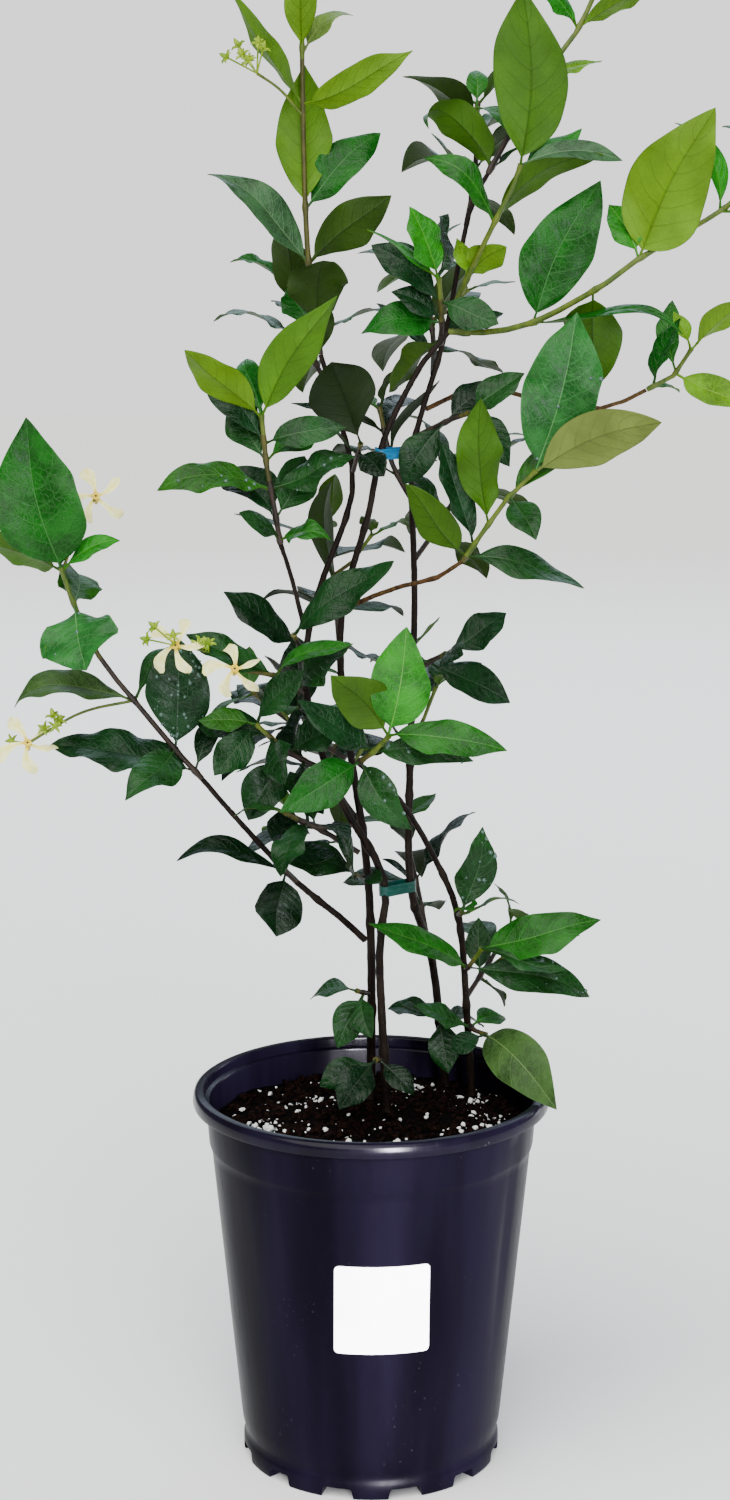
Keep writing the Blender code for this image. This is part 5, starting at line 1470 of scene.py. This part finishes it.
def label_finish():
    """Coated white sticker paper, faintly yellowed and creased."""
    finish = Finish("label_paper", (0.80, 0.80, 0.78), 0.42)
    cloud = finish.noise(40, 3.0).between(0.3, 0.8)
    crease = finish.noise(70, 2.0, (1, 1, 0.3))
    finish.feed("Base Color", finish.tint(cloud, (0.83, 0.83, 0.81), (0.76, 0.76, 0.73)))
    finish.relief(crease, 0.0006, 0.35)
    return finish


def sunk(shape, mesh_name, finish, smooth=40):
    """The mesh that a bmesh in millimetres becomes, with its normals facing out."""
    bmesh.ops.remove_doubles(shape, verts=shape.verts, dist=0.001)
    bmesh.ops.recalc_face_normals(shape, faces=shape.faces)
    bmesh.ops.scale(shape, vec=(MM, MM, MM), verts=shape.verts)
    mesh = bpy.data.meshes.new(mesh_name)
    shape.to_mesh(mesh)
    shape.free()
    mesh.materials.append(finish.material)
    mesh.shade_smooth()
    mesh.set_sharp_from_angle(angle=math.radians(smooth))
    return mesh


def only(parts, kind):
    """The vertices or edges among what an operator made."""
    return [part for part in parts if isinstance(part, kind)]


def spun(profile, steps):
    """A bmesh turned round the pot's axis from a profile of radius and height."""
    shape = bmesh.new()
    verts = [shape.verts.new((radius, 0, height)) for radius, height in profile]
    edges = [shape.edges.new(pair) for pair in zip(verts, verts[1:])]
    bmesh.ops.spin(shape, geom=verts + edges, cent=(0, 0, 0), axis=(0, 0, 1), dvec=(0, 0, 0),
                   angle=math.tau, steps=steps, use_merge=True, use_duplicate=False)
    bmesh.ops.remove_doubles(shape, verts=shape.verts, dist=0.001)
    return shape


def wall_radius(height):
    """The outer radius of the pot's body between its foot ring and its shoulder."""
    low = FOOT_RING_HEIGHT + 14
    high = POT_HEIGHT - LIP_HEIGHT - SHOULDER_HEIGHT
    share = (height - low) / (high - low)
    return BODY_FOOT_RADIUS + (BODY_TOP_RADIUS - BODY_FOOT_RADIUS) * share


def pot_profile():
    """Radius and height round the pot's wall, finer than in its solid."""
    lip_foot = POT_HEIGHT - LIP_HEIGHT
    shoulder = lip_foot - SHOULDER_HEIGHT
    foot = FOOT_RING_HEIGHT
    outside = [
        (FOOT_RING_RADIUS - 1, 0), (FOOT_RING_RADIUS - 0.3, 0.3), (FOOT_RING_RADIUS, 1.2),
        (FOOT_RING_RADIUS, foot - 0.8), (FOOT_RING_RADIUS - 0.5, foot + 0.4),
        (FOOT_RING_RADIUS - 1.2, foot + 2), (FOOT_RING_RADIUS - 0.8, foot + 5),
        (BODY_FOOT_RADIUS - 0.6, foot + 9), (wall_radius(foot + 14), foot + 14)]
    outside += [(wall_radius(height), height) for height in range(40, 150, 10)]
    outside += [
        (wall_radius(shoulder - 4), shoulder - 4), (wall_radius(shoulder - 1), shoulder - 1),
        (SHOULDER_RADIUS - 1.8, shoulder + 0.6), (SHOULDER_RADIUS - 1.3, shoulder + 2.4),
        (SHOULDER_RADIUS - 0.7, shoulder + 11), (SHOULDER_RADIUS, lip_foot - 0.8),
        (SHOULDER_RADIUS + 0.8, lip_foot), (RIM_RADIUS - 1.5, lip_foot + 0.6),
        (RIM_RADIUS - 0.4, lip_foot + 1.2), (RIM_RADIUS, lip_foot + 2.5),
        (RIM_RADIUS - 0.3, POT_HEIGHT - 2.6), (RIM_RADIUS - 0.9, POT_HEIGHT - 0.9),
        (RIM_RADIUS - 2.2, POT_HEIGHT)]
    inside = [
        (SHOULDER_RADIUS + 1.6, POT_HEIGHT), (SHOULDER_RADIUS + 1.0, POT_HEIGHT - 0.5),
        (SHOULDER_RADIUS + 0.8, POT_HEIGHT - 1.4), (SHOULDER_RADIUS + 0.5, lip_foot + 3.2),
        (SHOULDER_RADIUS - WALL + 0.5, lip_foot + 2.6), (SHOULDER_RADIUS - WALL, lip_foot + 1.8),
        (SHOULDER_RADIUS - 0.6 - WALL, shoulder + 3),
        (wall_radius(shoulder - 4) - WALL, shoulder - 4),
        (wall_radius(foot + 14) - WALL, foot + 14), (FOOT_RING_RADIUS - 3.6, FLOOR)]
    return [(0, 0)] + outside + inside + [(0, FLOOR)]


# Dents in the pot's wall: heading, height, half width in degrees, half height and depth. Nothing
# nearer the axis than the limit is dented
DENTS = [(329, 122, 2.6, 46, 1.3), (322, 150, 5.0, 14, 0.8), (246, 60, 12, 26, 0.7),
         (300, 34, 14, 12, 0.6), (215, 120, 10, 40, 0.8), (20, 90, 12, 50, 0.8),
         (120, 70, 16, 40, 0.8)]
DENTED_FROM = 50


def dent(shape):
    """Press the soft dents into the pot's wall, between its foot ring and its lip."""
    low, high = FOOT_RING_HEIGHT + 4, POT_HEIGHT - LIP_HEIGHT - 3
    for vert in shape.verts:
        radius = math.hypot(vert.co.x, vert.co.y)
        if radius < DENTED_FROM or not low <= vert.co.z <= high:
            continue
        heading = math.degrees(math.atan2(vert.co.y, vert.co.x)) % 360
        push = 0.0
        for middle, height, width, tall, depth in DENTS:
            away = (heading - middle + 180) % 360 - 180
            push += depth * math.exp(-(away / width) ** 2 - ((vert.co.z - height) / tall) ** 2)
        vert.co.x *= 1 - push / radius
        vert.co.y *= 1 - push / radius


def notch_cutters():
    """Blocks with narrow rounded tops that cut the drain notches into the foot ring."""
    cutters = bmesh.new()
    reach = FOOT_RING_RADIUS + 6 - NOTCH_REACH
    for index in range(DRAIN_NOTCHES):
        wide = NOTCH_WIDTH * NOTCH_SHARES[index % len(NOTCH_SHARES)]
        place = (Matrix.Rotation(math.tau * (index + 0.5) / DRAIN_NOTCHES, 4, "Z")
                 @ Matrix.Translation((NOTCH_REACH + reach / 2, 0, NOTCH_HEIGHT - 6))
                 @ Matrix.Diagonal((reach, wide, 12, 1)))
        corners = bmesh.ops.create_cube(cutters, size=1)["verts"]
        for vert in corners:
            if vert.co.z > 0:
                vert.co.y *= NOTCH_TAPER
        bmesh.ops.transform(cutters, matrix=place, verts=corners)
    edges = [edge for edge in cutters.edges
             if all(abs(vert.co.z - NOTCH_HEIGHT) < 0.01 for vert in edge.verts)]
    bmesh.ops.bevel(cutters, geom=edges, offset=1.2, segments=3, profile=0.5, affect="EDGES",
                    material=-1)
    return cutters


def build_pot(finish, lip):
    """The pot with its rolled lip, shoulder band, soft dents and notched foot ring."""
    shape = spun(pot_profile(), POT_STEPS)
    dent(shape)
    pot = placed("pot_shell", sunk(shape, "pot_shell", finish))
    tool = placed("notch_tool", sunk(notch_cutters(), "notch_tool", finish))
    cut = pot.modifiers.new("notches", "BOOLEAN")
    cut.operation, cut.object, cut.solver = "DIFFERENCE", tool, "EXACT"
    mesh = bpy.data.meshes.new_from_object(pot.evaluated_get(bpy.context.evaluated_depsgraph_get()))
    for thing in (pot, tool):
        bpy.data.objects.remove(thing)
    mesh.materials.append(lip.material)
    for face in mesh.polygons:
        if face.center.z > (POT_HEIGHT - LIP_HEIGHT + 0.3) * MM:
            face.material_index = 1
    mesh.shade_smooth()
    mesh.set_sharp_from_angle(angle=math.radians(38))
    settle(mesh, "pot_shell", ["pot"], "pot_plastic")


# Loose bits on the compost: how many, their sizes, how wide and how deep they are as shares of the
# size, and how far the middle of one lies above the surface as a share of its depth
CHIPS = {"count": 1700, "sizes": (1.6, 7.5), "width": (0.3, 0.8), "depth": (0.25, 0.5),
         "rise": 0.15}
GRAINS = {"count": 760, "sizes": (0.8, 3.9), "width": (0.4, 1), "depth": (0.4, 0.95),
          "rise": 0.42}
STREWN_RADIUS = SOIL_EDGE - 3
BIT_TILT = 0.35
BIT_JITTER = 0.32
PATCHED_SHARE = 0.78
PATCH_SPREAD = (8, 5.5)

# Middles of the patches of perlite grains on the compost
PERLITE_PATCHES = [(-6, -62), (8, -66), (22, -64), (-24, -60), (-40, -50), (36, -54), (57, -14),
                   (60, 8), (-58, -34), (-48, -8), (-30, 26), (0, -40), (20, 46), (52, 38),
                   (-62, -12)]


def soil_height(x, y):
    """The uneven surface of the compost."""
    hump = 2.2 * math.exp(-((x - 10) ** 2 + (y - 20) ** 2) / 900)
    coarse = 2.2 * noise.noise(Vector((x, y, 3)) / 17)
    return SOIL_LEVEL + hump - 0.8 + coarse + 0.8 * noise.noise(Vector((x, y, 9)) / 6)


def scatter(name, model, finish, bits, chance, patches=()):
    """Loose bits strewn over the compost, most of them in patches where there are any."""
    corners = np.array([tuple(vert.co) for vert in model.verts])
    faces = [tuple(vert.index for vert in face.verts) for face in model.faces]
    model.free()
    sheaf = Sheaf(name, [], "bark_compost", [finish])
    least, most = bits["sizes"]
    for _ in range(bits["count"]):
        turn, radius = chance.uniform(0, math.tau), math.sqrt(chance.random()) * STREWN_RADIUS
        x, y = radius * math.cos(turn), radius * math.sin(turn)
        if patches and chance.random() < PATCHED_SHARE:
            patch = chance.choice(patches)
            x, y = (chance.gauss(middle, spread) for middle, spread in zip(patch, PATCH_SPREAD))
            if math.hypot(x, y) > STREWN_RADIUS:
                continue
        size = least + (most - least) * chance.random() ** 3
        flat = (1, chance.uniform(*bits["width"]), chance.uniform(*bits["depth"]))
        lie = (Matrix.Rotation(chance.uniform(0, math.tau), 3, "Z")
               @ Matrix.Rotation(chance.gauss(0, BIT_TILT), 3, "X")
               @ Matrix.Rotation(chance.gauss(0, BIT_TILT), 3, "Y"))
        jitter = np.array([[1 + chance.uniform(-BIT_JITTER, BIT_JITTER) for _ in range(3)]
                           for _ in corners])
        points = (corners * jitter * size * np.array(flat)) @ np.array(lie).T
        points += np.array([x, y, soil_height(x, y) + bits["rise"] * size * flat[2]])
        sheaf.add(points, faces, [0] * len(faces), np.zeros((len(points), 2)))
    sheaf.make()


def build_soil(compost, bark_bits, perlite):
    """The compost, the bark chips on it and the white perlite grains."""
    side = [(wall_radius(height) - WALL - GAP, height) for height in (154, 22)]
    surface = [(SOIL_EDGE * k / SOIL_RINGS, SOIL_LEVEL) for k in range(SOIL_RINGS + 1)]
    profile = surface + [(SOIL_EDGE, SOIL_LEVEL - 4)] + side + [
        (FOOT_RING_RADIUS - 4, FLOOR + GAP), (0, FLOOR + GAP)]
    shape = spun(profile, SOIL_STEPS)
    for vert in shape.verts:
        if vert.co.z > SOIL_LEVEL - 0.5:
            vert.co.z = soil_height(vert.co.x, vert.co.y)
    settle(sunk(shape, "compost", compost, 70), "compost", ["soil"], "bark_compost")

    chance = random.Random(7)
    chip = bmesh.new()
    bmesh.ops.create_cube(chip, size=1)
    bmesh.ops.bevel(chip, geom=chip.edges, offset=0.16, segments=1, profile=0.5, affect="EDGES",
                    material=-1)
    scatter("bark_chips", chip, bark_bits, CHIPS, chance)
    grain = bmesh.new()
    bmesh.ops.create_icosphere(grain, subdivisions=1, radius=0.5)
    scatter("perlite", grain, perlite, GRAINS, chance, PERLITE_PATCHES)


def build_label(finish):
    """A blank white sticker with round corners, bent round the wall."""
    shape = bmesh.new()
    bmesh.ops.create_grid(shape, x_segments=1, y_segments=1, size=LABEL_SIDE / 2)
    bmesh.ops.bevel(shape, geom=shape.verts[:], offset=0.55 * LABEL_CORNER, segments=6, profile=0.5,
                    affect="VERTICES", material=-1)
    for k in range(1, LABEL_STRIPS):
        for normal in ((1, 0, 0), (0, 1, 0)):
            middle = Vector(normal) * LABEL_SIDE * (k / LABEL_STRIPS - 0.5)
            bmesh.ops.bisect_plane(shape, geom=shape.verts[:] + shape.edges[:] + shape.faces[:],
                                   plane_co=middle, plane_no=normal)
    sheet = bmesh.ops.extrude_face_region(shape, geom=shape.faces[:])["geom"]
    bmesh.ops.translate(shape, vec=(0, 0, LABEL_THICKNESS), verts=only(sheet, bmesh.types.BMVert))
    for vert in shape.verts:
        x, z, depth = vert.co
        ripple = 0.06 * noise.noise(Vector((x, z, 0)) / 14) + 0.06
        radius = wall_radius(LABEL_HEIGHT + z) + GAP + depth + ripple
        turn = math.radians(LABEL_TURN) + x / wall_radius(LABEL_HEIGHT + z)
        vert.co = (radius * math.cos(turn), radius * math.sin(turn), LABEL_HEIGHT + z)
    settle(sunk(shape, "sticker", finish), "sticker", ["label"], "label_paper")


def build_tie(name, node, slot, height, stems, finish):
    """Two turns of flat tape drawn round a pair of stems."""
    shape = bmesh.new()
    for tilt, extra in TIE_LAPS:
        ring = bmesh.ops.create_circle(shape, segments=TIE_STEPS, radius=1)["verts"]
        spine = []
        for stem in stems:
            fraction = stem.route.fraction_at(height)
            point, _ = stem.route.place(fraction)
            spine.append((point, stem.radius(fraction) + TIE_CLEARANCE + extra))
        (a, radius_a), (b, radius_b) = spine
        axis = (b - a).normalized()
        for index, vert in enumerate(ring):
            turn = math.tau * index / TIE_STEPS
            out = Vector((math.cos(turn), math.sin(turn), 0))
            centre, radius = (b, radius_b) if out.dot(axis) > 0 else (a, radius_a)
            level = height - TIE_WIDTH / 2 + 1.1 + tilt * out.x * 12 + 0.2 * math.sin(3 * turn)
            reach = radius + 0.12 * math.sin(5 * turn)
            vert.co = Vector((centre.x, centre.y, 0)) + out * reach + level * UP
        edges = [edge for edge in shape.edges if edge.verts[0] in ring and edge.verts[1] in ring]
        for _ in range(3):
            grown = bmesh.ops.extrude_edge_only(shape, edges=edges)["geom"]
            edges = only(grown, bmesh.types.BMEdge)
            bmesh.ops.translate(shape, vec=(0, 0, (TIE_WIDTH - 2.4) / 3),
                                verts=only(grown, bmesh.types.BMVert))
    bmesh.ops.recalc_face_normals(shape, faces=shape.faces)
    bmesh.ops.solidify(shape, geom=shape.faces[:], thickness=-TIE_SHEET)
    settle(sunk(shape, name, finish, 50), name, [node], slot)


def build_limb(name, limb, finish, seed, level_foot):
    """A stem or bough drawn ring by ring along its line, with knots and the bark's relief."""
    chance = random.Random(seed)
    length = limb.route.length
    knots = [(chance.uniform(*KNOT_STEP) * (k + 1)) / length
             for k in range(int(length / KNOT_EVERY))]
    places, radii = knotted(limb.route, limb.girth, knots, step=1.5, swell=0.28, reach=2.6)
    frames = [Matrix.Translation(point)
              @ Matrix((side, other, side.cross(other))).transposed().to_4x4()
              for point, side, other in ring_frames(places)]
    if level_foot:
        frames[0] = Matrix.Translation(places[0])
        radii[0] *= STEM_FLARE
        radii[1] *= 1.2
    shape = bmesh.new()
    bmesh.ops.create_circle(shape, segments=BARK_SIDES, radius=1, cap_ends=True,
                            matrix=frames[0] @ Matrix.Scale(radii[0], 4))
    edges = [edge for edge in shape.edges if edge.is_boundary]
    for before, after, size, onward in zip(frames, frames[1:], radii, radii[1:]):
        grown = bmesh.ops.extrude_edge_only(shape, edges=edges)["geom"]
        edges = only(grown, bmesh.types.BMEdge)
        move = after @ Matrix.Scale(onward, 4) @ (before @ Matrix.Scale(size, 4)).inverted()
        bmesh.ops.transform(shape, matrix=move, verts=only(grown, bmesh.types.BMVert))
    bmesh.ops.contextual_create(shape, geom=edges)
    bmesh.ops.recalc_face_normals(shape, faces=shape.faces)
    shape.normal_update()
    for vert in shape.verts:
        x, y, z = vert.co
        rough = noise.noise(Vector((x * 0.9, y * 0.9, z * 0.25 + seed)))
        fine = noise.noise(Vector((x * 3, y * 3, z * 0.8)))
        vert.co += vert.normal * (0.16 * rough + 0.07 * fine)
    settle(sunk(shape, name + "_bark", finish, 60), name + "_bark", [name], "bark")


# Studio lamps: place, aim, width, height, power and colour. The pot strip lights only the pot
# and its sticker, for the long highlight down the plastic.
LAMPS = [
    ("front_strip", (0.62, -2.85, 0.9), (0, 0, 0.3), 0.8, 1.8, 54, (0.92, 0.94, 1.0)),
    ("pot_strip", (0.66, -2.85, 0.9), (0, 0, 0.1), 0.5, 1.8, 1250, (0.92, 0.87, 1.0)),
    ("rear_sky", (0.2, 2.6, 2.3), (0, 0, 0.45), 4.0, 2.0, 60, (0.72, 0.86, 1.0)),
    ("rear_strip", (1.5, 1.15, 0.5), (0, 0, 0.15), 0.25, 1.2, 5, (0.9, 0.94, 1.0)),
]

# Strengths of the sky, the backdrop and the daylight, and the daylight's width and turn in degrees
SKY_LIGHT = 0.16
BACKDROP = 1.48
SUN = 5.7
SUN_WIDTH = 70
SUN_TURN = (34, -14, 0)
FLOOR_REACH = 9

# Camera: place, dip below the level in degrees, focal length and height of the sensor
CAMERA_PLACE = (-0.003, -1.2075, 0.581)
CAMERA_DIP = 10.7
LENS = 61.92
SENSOR_HEIGHT = 36


def build_floor():
    """A wide pale floor under the pot."""
    shape = bmesh.new()
    bmesh.ops.create_circle(shape, cap_ends=True, segments=96, radius=FLOOR_REACH)
    mesh = bpy.data.meshes.new("floor")
    shape.to_mesh(mesh)
    shape.free()
    finish = Finish("pale_floor", (0.92, 0.92, 0.92), 0.9, {"Specular IOR Level": 0.0})
    mesh.materials.append(finish.material)
    floor = placed("floor", mesh)


def build_sky():
    """Soft blue light from all round, and a white backdrop that only the eye meets."""
    world = bpy.data.worlds.new("studio")
    bpy.context.scene.world = world
    world.use_nodes = True
    tree = world.node_tree
    soft = tree.nodes["Background"]
    bright, seen, mixed = (tree.nodes.new(kind) for kind in (
        "ShaderNodeBackground", "ShaderNodeLightPath", "ShaderNodeMixShader"))
    for shine, colour, strength in ((soft, (0.86, 0.93, 1.0, 1), SKY_LIGHT),
                                    (bright, (1, 1, 1, 1), BACKDROP)):
        shine.inputs["Color"].default_value = colour
        shine.inputs["Strength"].default_value = strength
    tree.links.new(seen.outputs["Is Camera Ray"], mixed.inputs[0])
    tree.links.new(soft.outputs[0], mixed.inputs[1])
    tree.links.new(bright.outputs[0], mixed.inputs[2])
    tree.links.new(mixed.outputs[0], tree.nodes["World Output"].inputs["Surface"])


def build_lamps():
    """The studio lamps and the daylight."""
    lit = bpy.data.collections.new("lit_by_pot_strip")
    for name in ("pot_shell", "sticker"):
        lit.objects.link(bpy.data.objects[name])
    for name, place, aim, wide, tall, power, colour in LAMPS:
        lamp = bpy.data.lights.new(name, "AREA")
        lamp.shape, lamp.size, lamp.size_y = "RECTANGLE", wide, tall
        lamp.energy, lamp.color = power, colour
        thing = placed(name, lamp)
        thing.location = place
        thing.rotation_euler = (Vector(aim) - Vector(place)).to_track_quat("-Z", "Y").to_euler()
        if name == "pot_strip":
            thing.light_linking.receiver_collection = lit
    day = bpy.data.lights.new("daylight", "SUN")
    day.energy, day.angle, day.color = SUN, math.radians(SUN_WIDTH), (1.0, 0.99, 0.96)
    placed("daylight", day).rotation_euler = [math.radians(turn) for turn in SUN_TURN]


def build_camera():
    """The camera at the photograph's angle."""
    lens = bpy.data.cameras.new("camera")
    lens.sensor_fit, lens.sensor_height, lens.lens = "VERTICAL", SENSOR_HEIGHT, LENS
    camera = placed("camera", lens)
    camera.location = CAMERA_PLACE
    camera.rotation_euler = (math.radians(90 - CAMERA_DIP), 0, 0)
    bpy.context.scene.camera = camera


def solid_of(node):
    """A node's points in millimetres and its faces."""
    mesh = node.data
    return ([vert.co / MM for vert in mesh.vertices],
            [tuple(face.vertices) for face in mesh.polygons])


def grow_plant(nodes):
    """Every limb and spray of the part, by the rule of its source."""
    space = Space()
    for name in ("pot", "soil", "label"):
        space.add(solid_of(nodes[name]), name)
    limbs = {}
    for name, spec in STEMS.items():
        route = [(x, y, z + GAP if index == 0 else z)
                 for index, (x, y, z) in enumerate(spec["route"])]
        limbs[name] = Limb(Route(route, STEM_STEP), spec["girth"], STEM_SIDES, UP)
        space.add(limbs[name].solid(STEM_FLARE), name)
    for name, spec in BOUGHS.items():
        limbs[name] = grown_from(spec, limbs, spec["girth"], STEM_SIDES, BOUGH_STEP)
        space.add(limbs[name].solid(), name)
    for name in ("tie_low", "tie_high"):
        space.add(solid_of(nodes[name]), name)
    sprays = [Spray(name, spec, limbs, space) for name, spec in {**SPRAYS, **BACK_SPRAYS}.items()]
    for spray in sprays:
        spray.grow()
    return limbs, sprays


def leaf_sheaves(names):
    """An empty sheaf for the leaves of every tint."""
    sheaves = {}
    for tints in TINTS.values():
        for name, upper, under, rib, roughness in tints:
            finishes = [leaf_upper(name + "_upper", upper, roughness),
                        leaf_under(name + "_under", under),
                        stalky(name + "_rib", rib, shaded(rib, 1.2), 0.45)]
            sheaves[name] = Sheaf("leaves_" + name, names, "foliage", finishes)
    return sheaves


def dress_twigs(spray, twigs):
    """Round twigs with knots at their leaves, brown at the foot and green at the tip."""
    knots = [fraction for fraction, _ in spray.spec.get("nodes", [])] or BACK_KNOTS
    for twig in spray.twigs:
        main = twig is spray.twig
        places, radii = knotted(twig.route, twig.girth, knots if main else [0.97], step=1.8)
        marks = (0, *TWIG_SKINS.get(spray.name, (0.8, 1)), 1) if main else (0, 0, 0.4, 1)
        marks = [round(share * (len(places) - 1)) for share in marks]
        for skin, (low, high) in enumerate(zip(marks, marks[1:])):
            if high > low:
                twigs.add(*tube(places[low:high + 1], radii[low:high + 1], 8, skin))


def dress_leaves(spray, sheaves, drops, chance):
    """The leaves of a spray, each in the sheaf of its tint, with the drops that lie on them."""
    tints, forms, wet = (table.get(spray.name, {})
                         for table in (LEAF_TINTS, LEAF_FORMS, LEAF_DROPS))
    for index, (base, ahead, upper, shape) in enumerate(spray.leaves):
        tint = chance.choice(TINTS[shape["age"]])[0]
        # Leaves inside the lower crown take a darker tint: painted shade
        if spray.name in SHADY_SPRAYS:
            tint = PAINTED_SHADE_TINTS.get(tint, tint)
        tint = tints.get(index, tint)
        leaf_parts = fine_leaf(base, ahead, upper, shape, chance, *forms.get(index, ()))
        sheaves[tint].add(*leaf_parts)
        for drop in drop_shapes(leaf_parts[0], leaf_rows(shape), wet.get(index, 0),
                                random.Random(index)):
            drops.add(*drop)


def dress_blossom(spray, blossom, chance, order):
    """The flower stalks, open flowers and buds of a spray."""
    for index, route in enumerate(spray.stalks):
        places, radii = knotted(route, (0.75, 0.6), [0.98], step=2.5)
        blossom.add(*tube(places, radii, 7, 3))
        if BUD_CLUSTERS.get(spray.name) == index:
            for shape in calyx_cluster(route, random.Random(order)):
                blossom.add(*shape)
    for centre, axis in spray.flowers:
        for shape in petal_shapes(centre, axis, chance):
            blossom.add(*shape)
        for places, radii, sides, slot in THROAT:
            blossom.add(*tube([centre + place * axis for place in places], radii, sides, slot))
    for start, tip in spray.buds:
        for shape in bud_shapes(start, tip, chance):
            blossom.add(*shape)


def dress_sprays(sprays):
    """Twigs, leaves and blossom of every spray, each kind gathered into its own pieces."""
    names = ["spray_" + spray.name for spray in sprays]
    sheaves = leaf_sheaves(names)
    brown = stalky("twig_brown", (0.010, 0.006, 0.004), (0.030, 0.018, 0.011))
    olive = stalky("twig_olive", (0.032, 0.032, 0.004), (0.066, 0.062, 0.008))
    green = stalky("twig_green", (0.042, 0.076, 0.004), (0.086, 0.120, 0.008))
    cream = petal_finish()
    yellow = stalky("flower_throat", (0.56, 0.38, 0.005), (0.68, 0.50, 0.01))
    bud_green = stalky("bud_green", (0.120, 0.230, 0.004), (0.260, 0.370, 0.010))
    water = Finish("water", (0.045, 0.095, 0.070), 0.05)
    water.relief(water.noise(600, 2.0), 0.0001, 0.3)
    drops = Sheaf("drops", [], "foliage", [water])
    twigs = Sheaf("twigs", names, "foliage", [brown, olive, green])
    blossom = Sheaf("blossom", [], "foliage", [cream, yellow, bud_green, green, brown])
    for order, spray in enumerate(sprays):
        chance = random.Random(1000 + order)
        dress_twigs(spray, twigs)
        dress_leaves(spray, sheaves, drops, chance)
        dress_blossom(spray, blossom, chance, order)
    for sheaf in [*sheaves.values(), twigs, blossom, drops]:
        sheaf.make()


def main():
    """Load the part, dress it and set the stage."""
    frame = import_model()
    limbs, sprays = grow_plant(frame["nodes"])
    bark = bark_finish("bark", (0.0028, 0.0015, 0.0011), (0.0125, 0.0068, 0.0044),
                       (0.022, 0.0155, 0.0115))
    warm = bark_finish("bark_young", (0.016, 0.008, 0.003), (0.074, 0.034, 0.010),
                       (0.100, 0.062, 0.018))
    for seed, (name, limb) in enumerate(limbs.items()):
        build_limb(name, limb, warm if name in YOUNG_LIMBS else bark, seed, name in STEMS)
    dress_sprays(sprays)
    build_pot(pot_finish("pot_plastic", 0.030, 0.30), pot_finish("pot_lip", 0.12, 0.20))
    build_soil(crumb_finish("compost", (0.0008, 0.0006, 0.0006), (0.004, 0.0024, 0.002), 320),
               crumb_finish("bark_bits", (0.0010, 0.0008, 0.0008), (0.016, 0.0070, 0.005), 500),
               crumb_finish("perlite", (0.72, 0.72, 0.70), (0.90, 0.90, 0.88), 700))
    build_label(label_finish())
    build_tie("band_low", "tie_low", "tie_green", TIE_LOW,
              [limbs["stem_middle"], limbs["stem_back"]],
              tape_finish("tape_green", (0.001, 0.062, 0.046)))
    build_tie("band_high", "tie_high", "tie_blue", TIE_HIGH,
              [limbs["stem_left"], limbs["stem_back"]],
              tape_finish("tape_blue", (0.008, 0.150, 0.330)))
    build_floor()
    build_sky()
    build_lamps()
    build_camera()
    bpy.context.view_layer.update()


main()
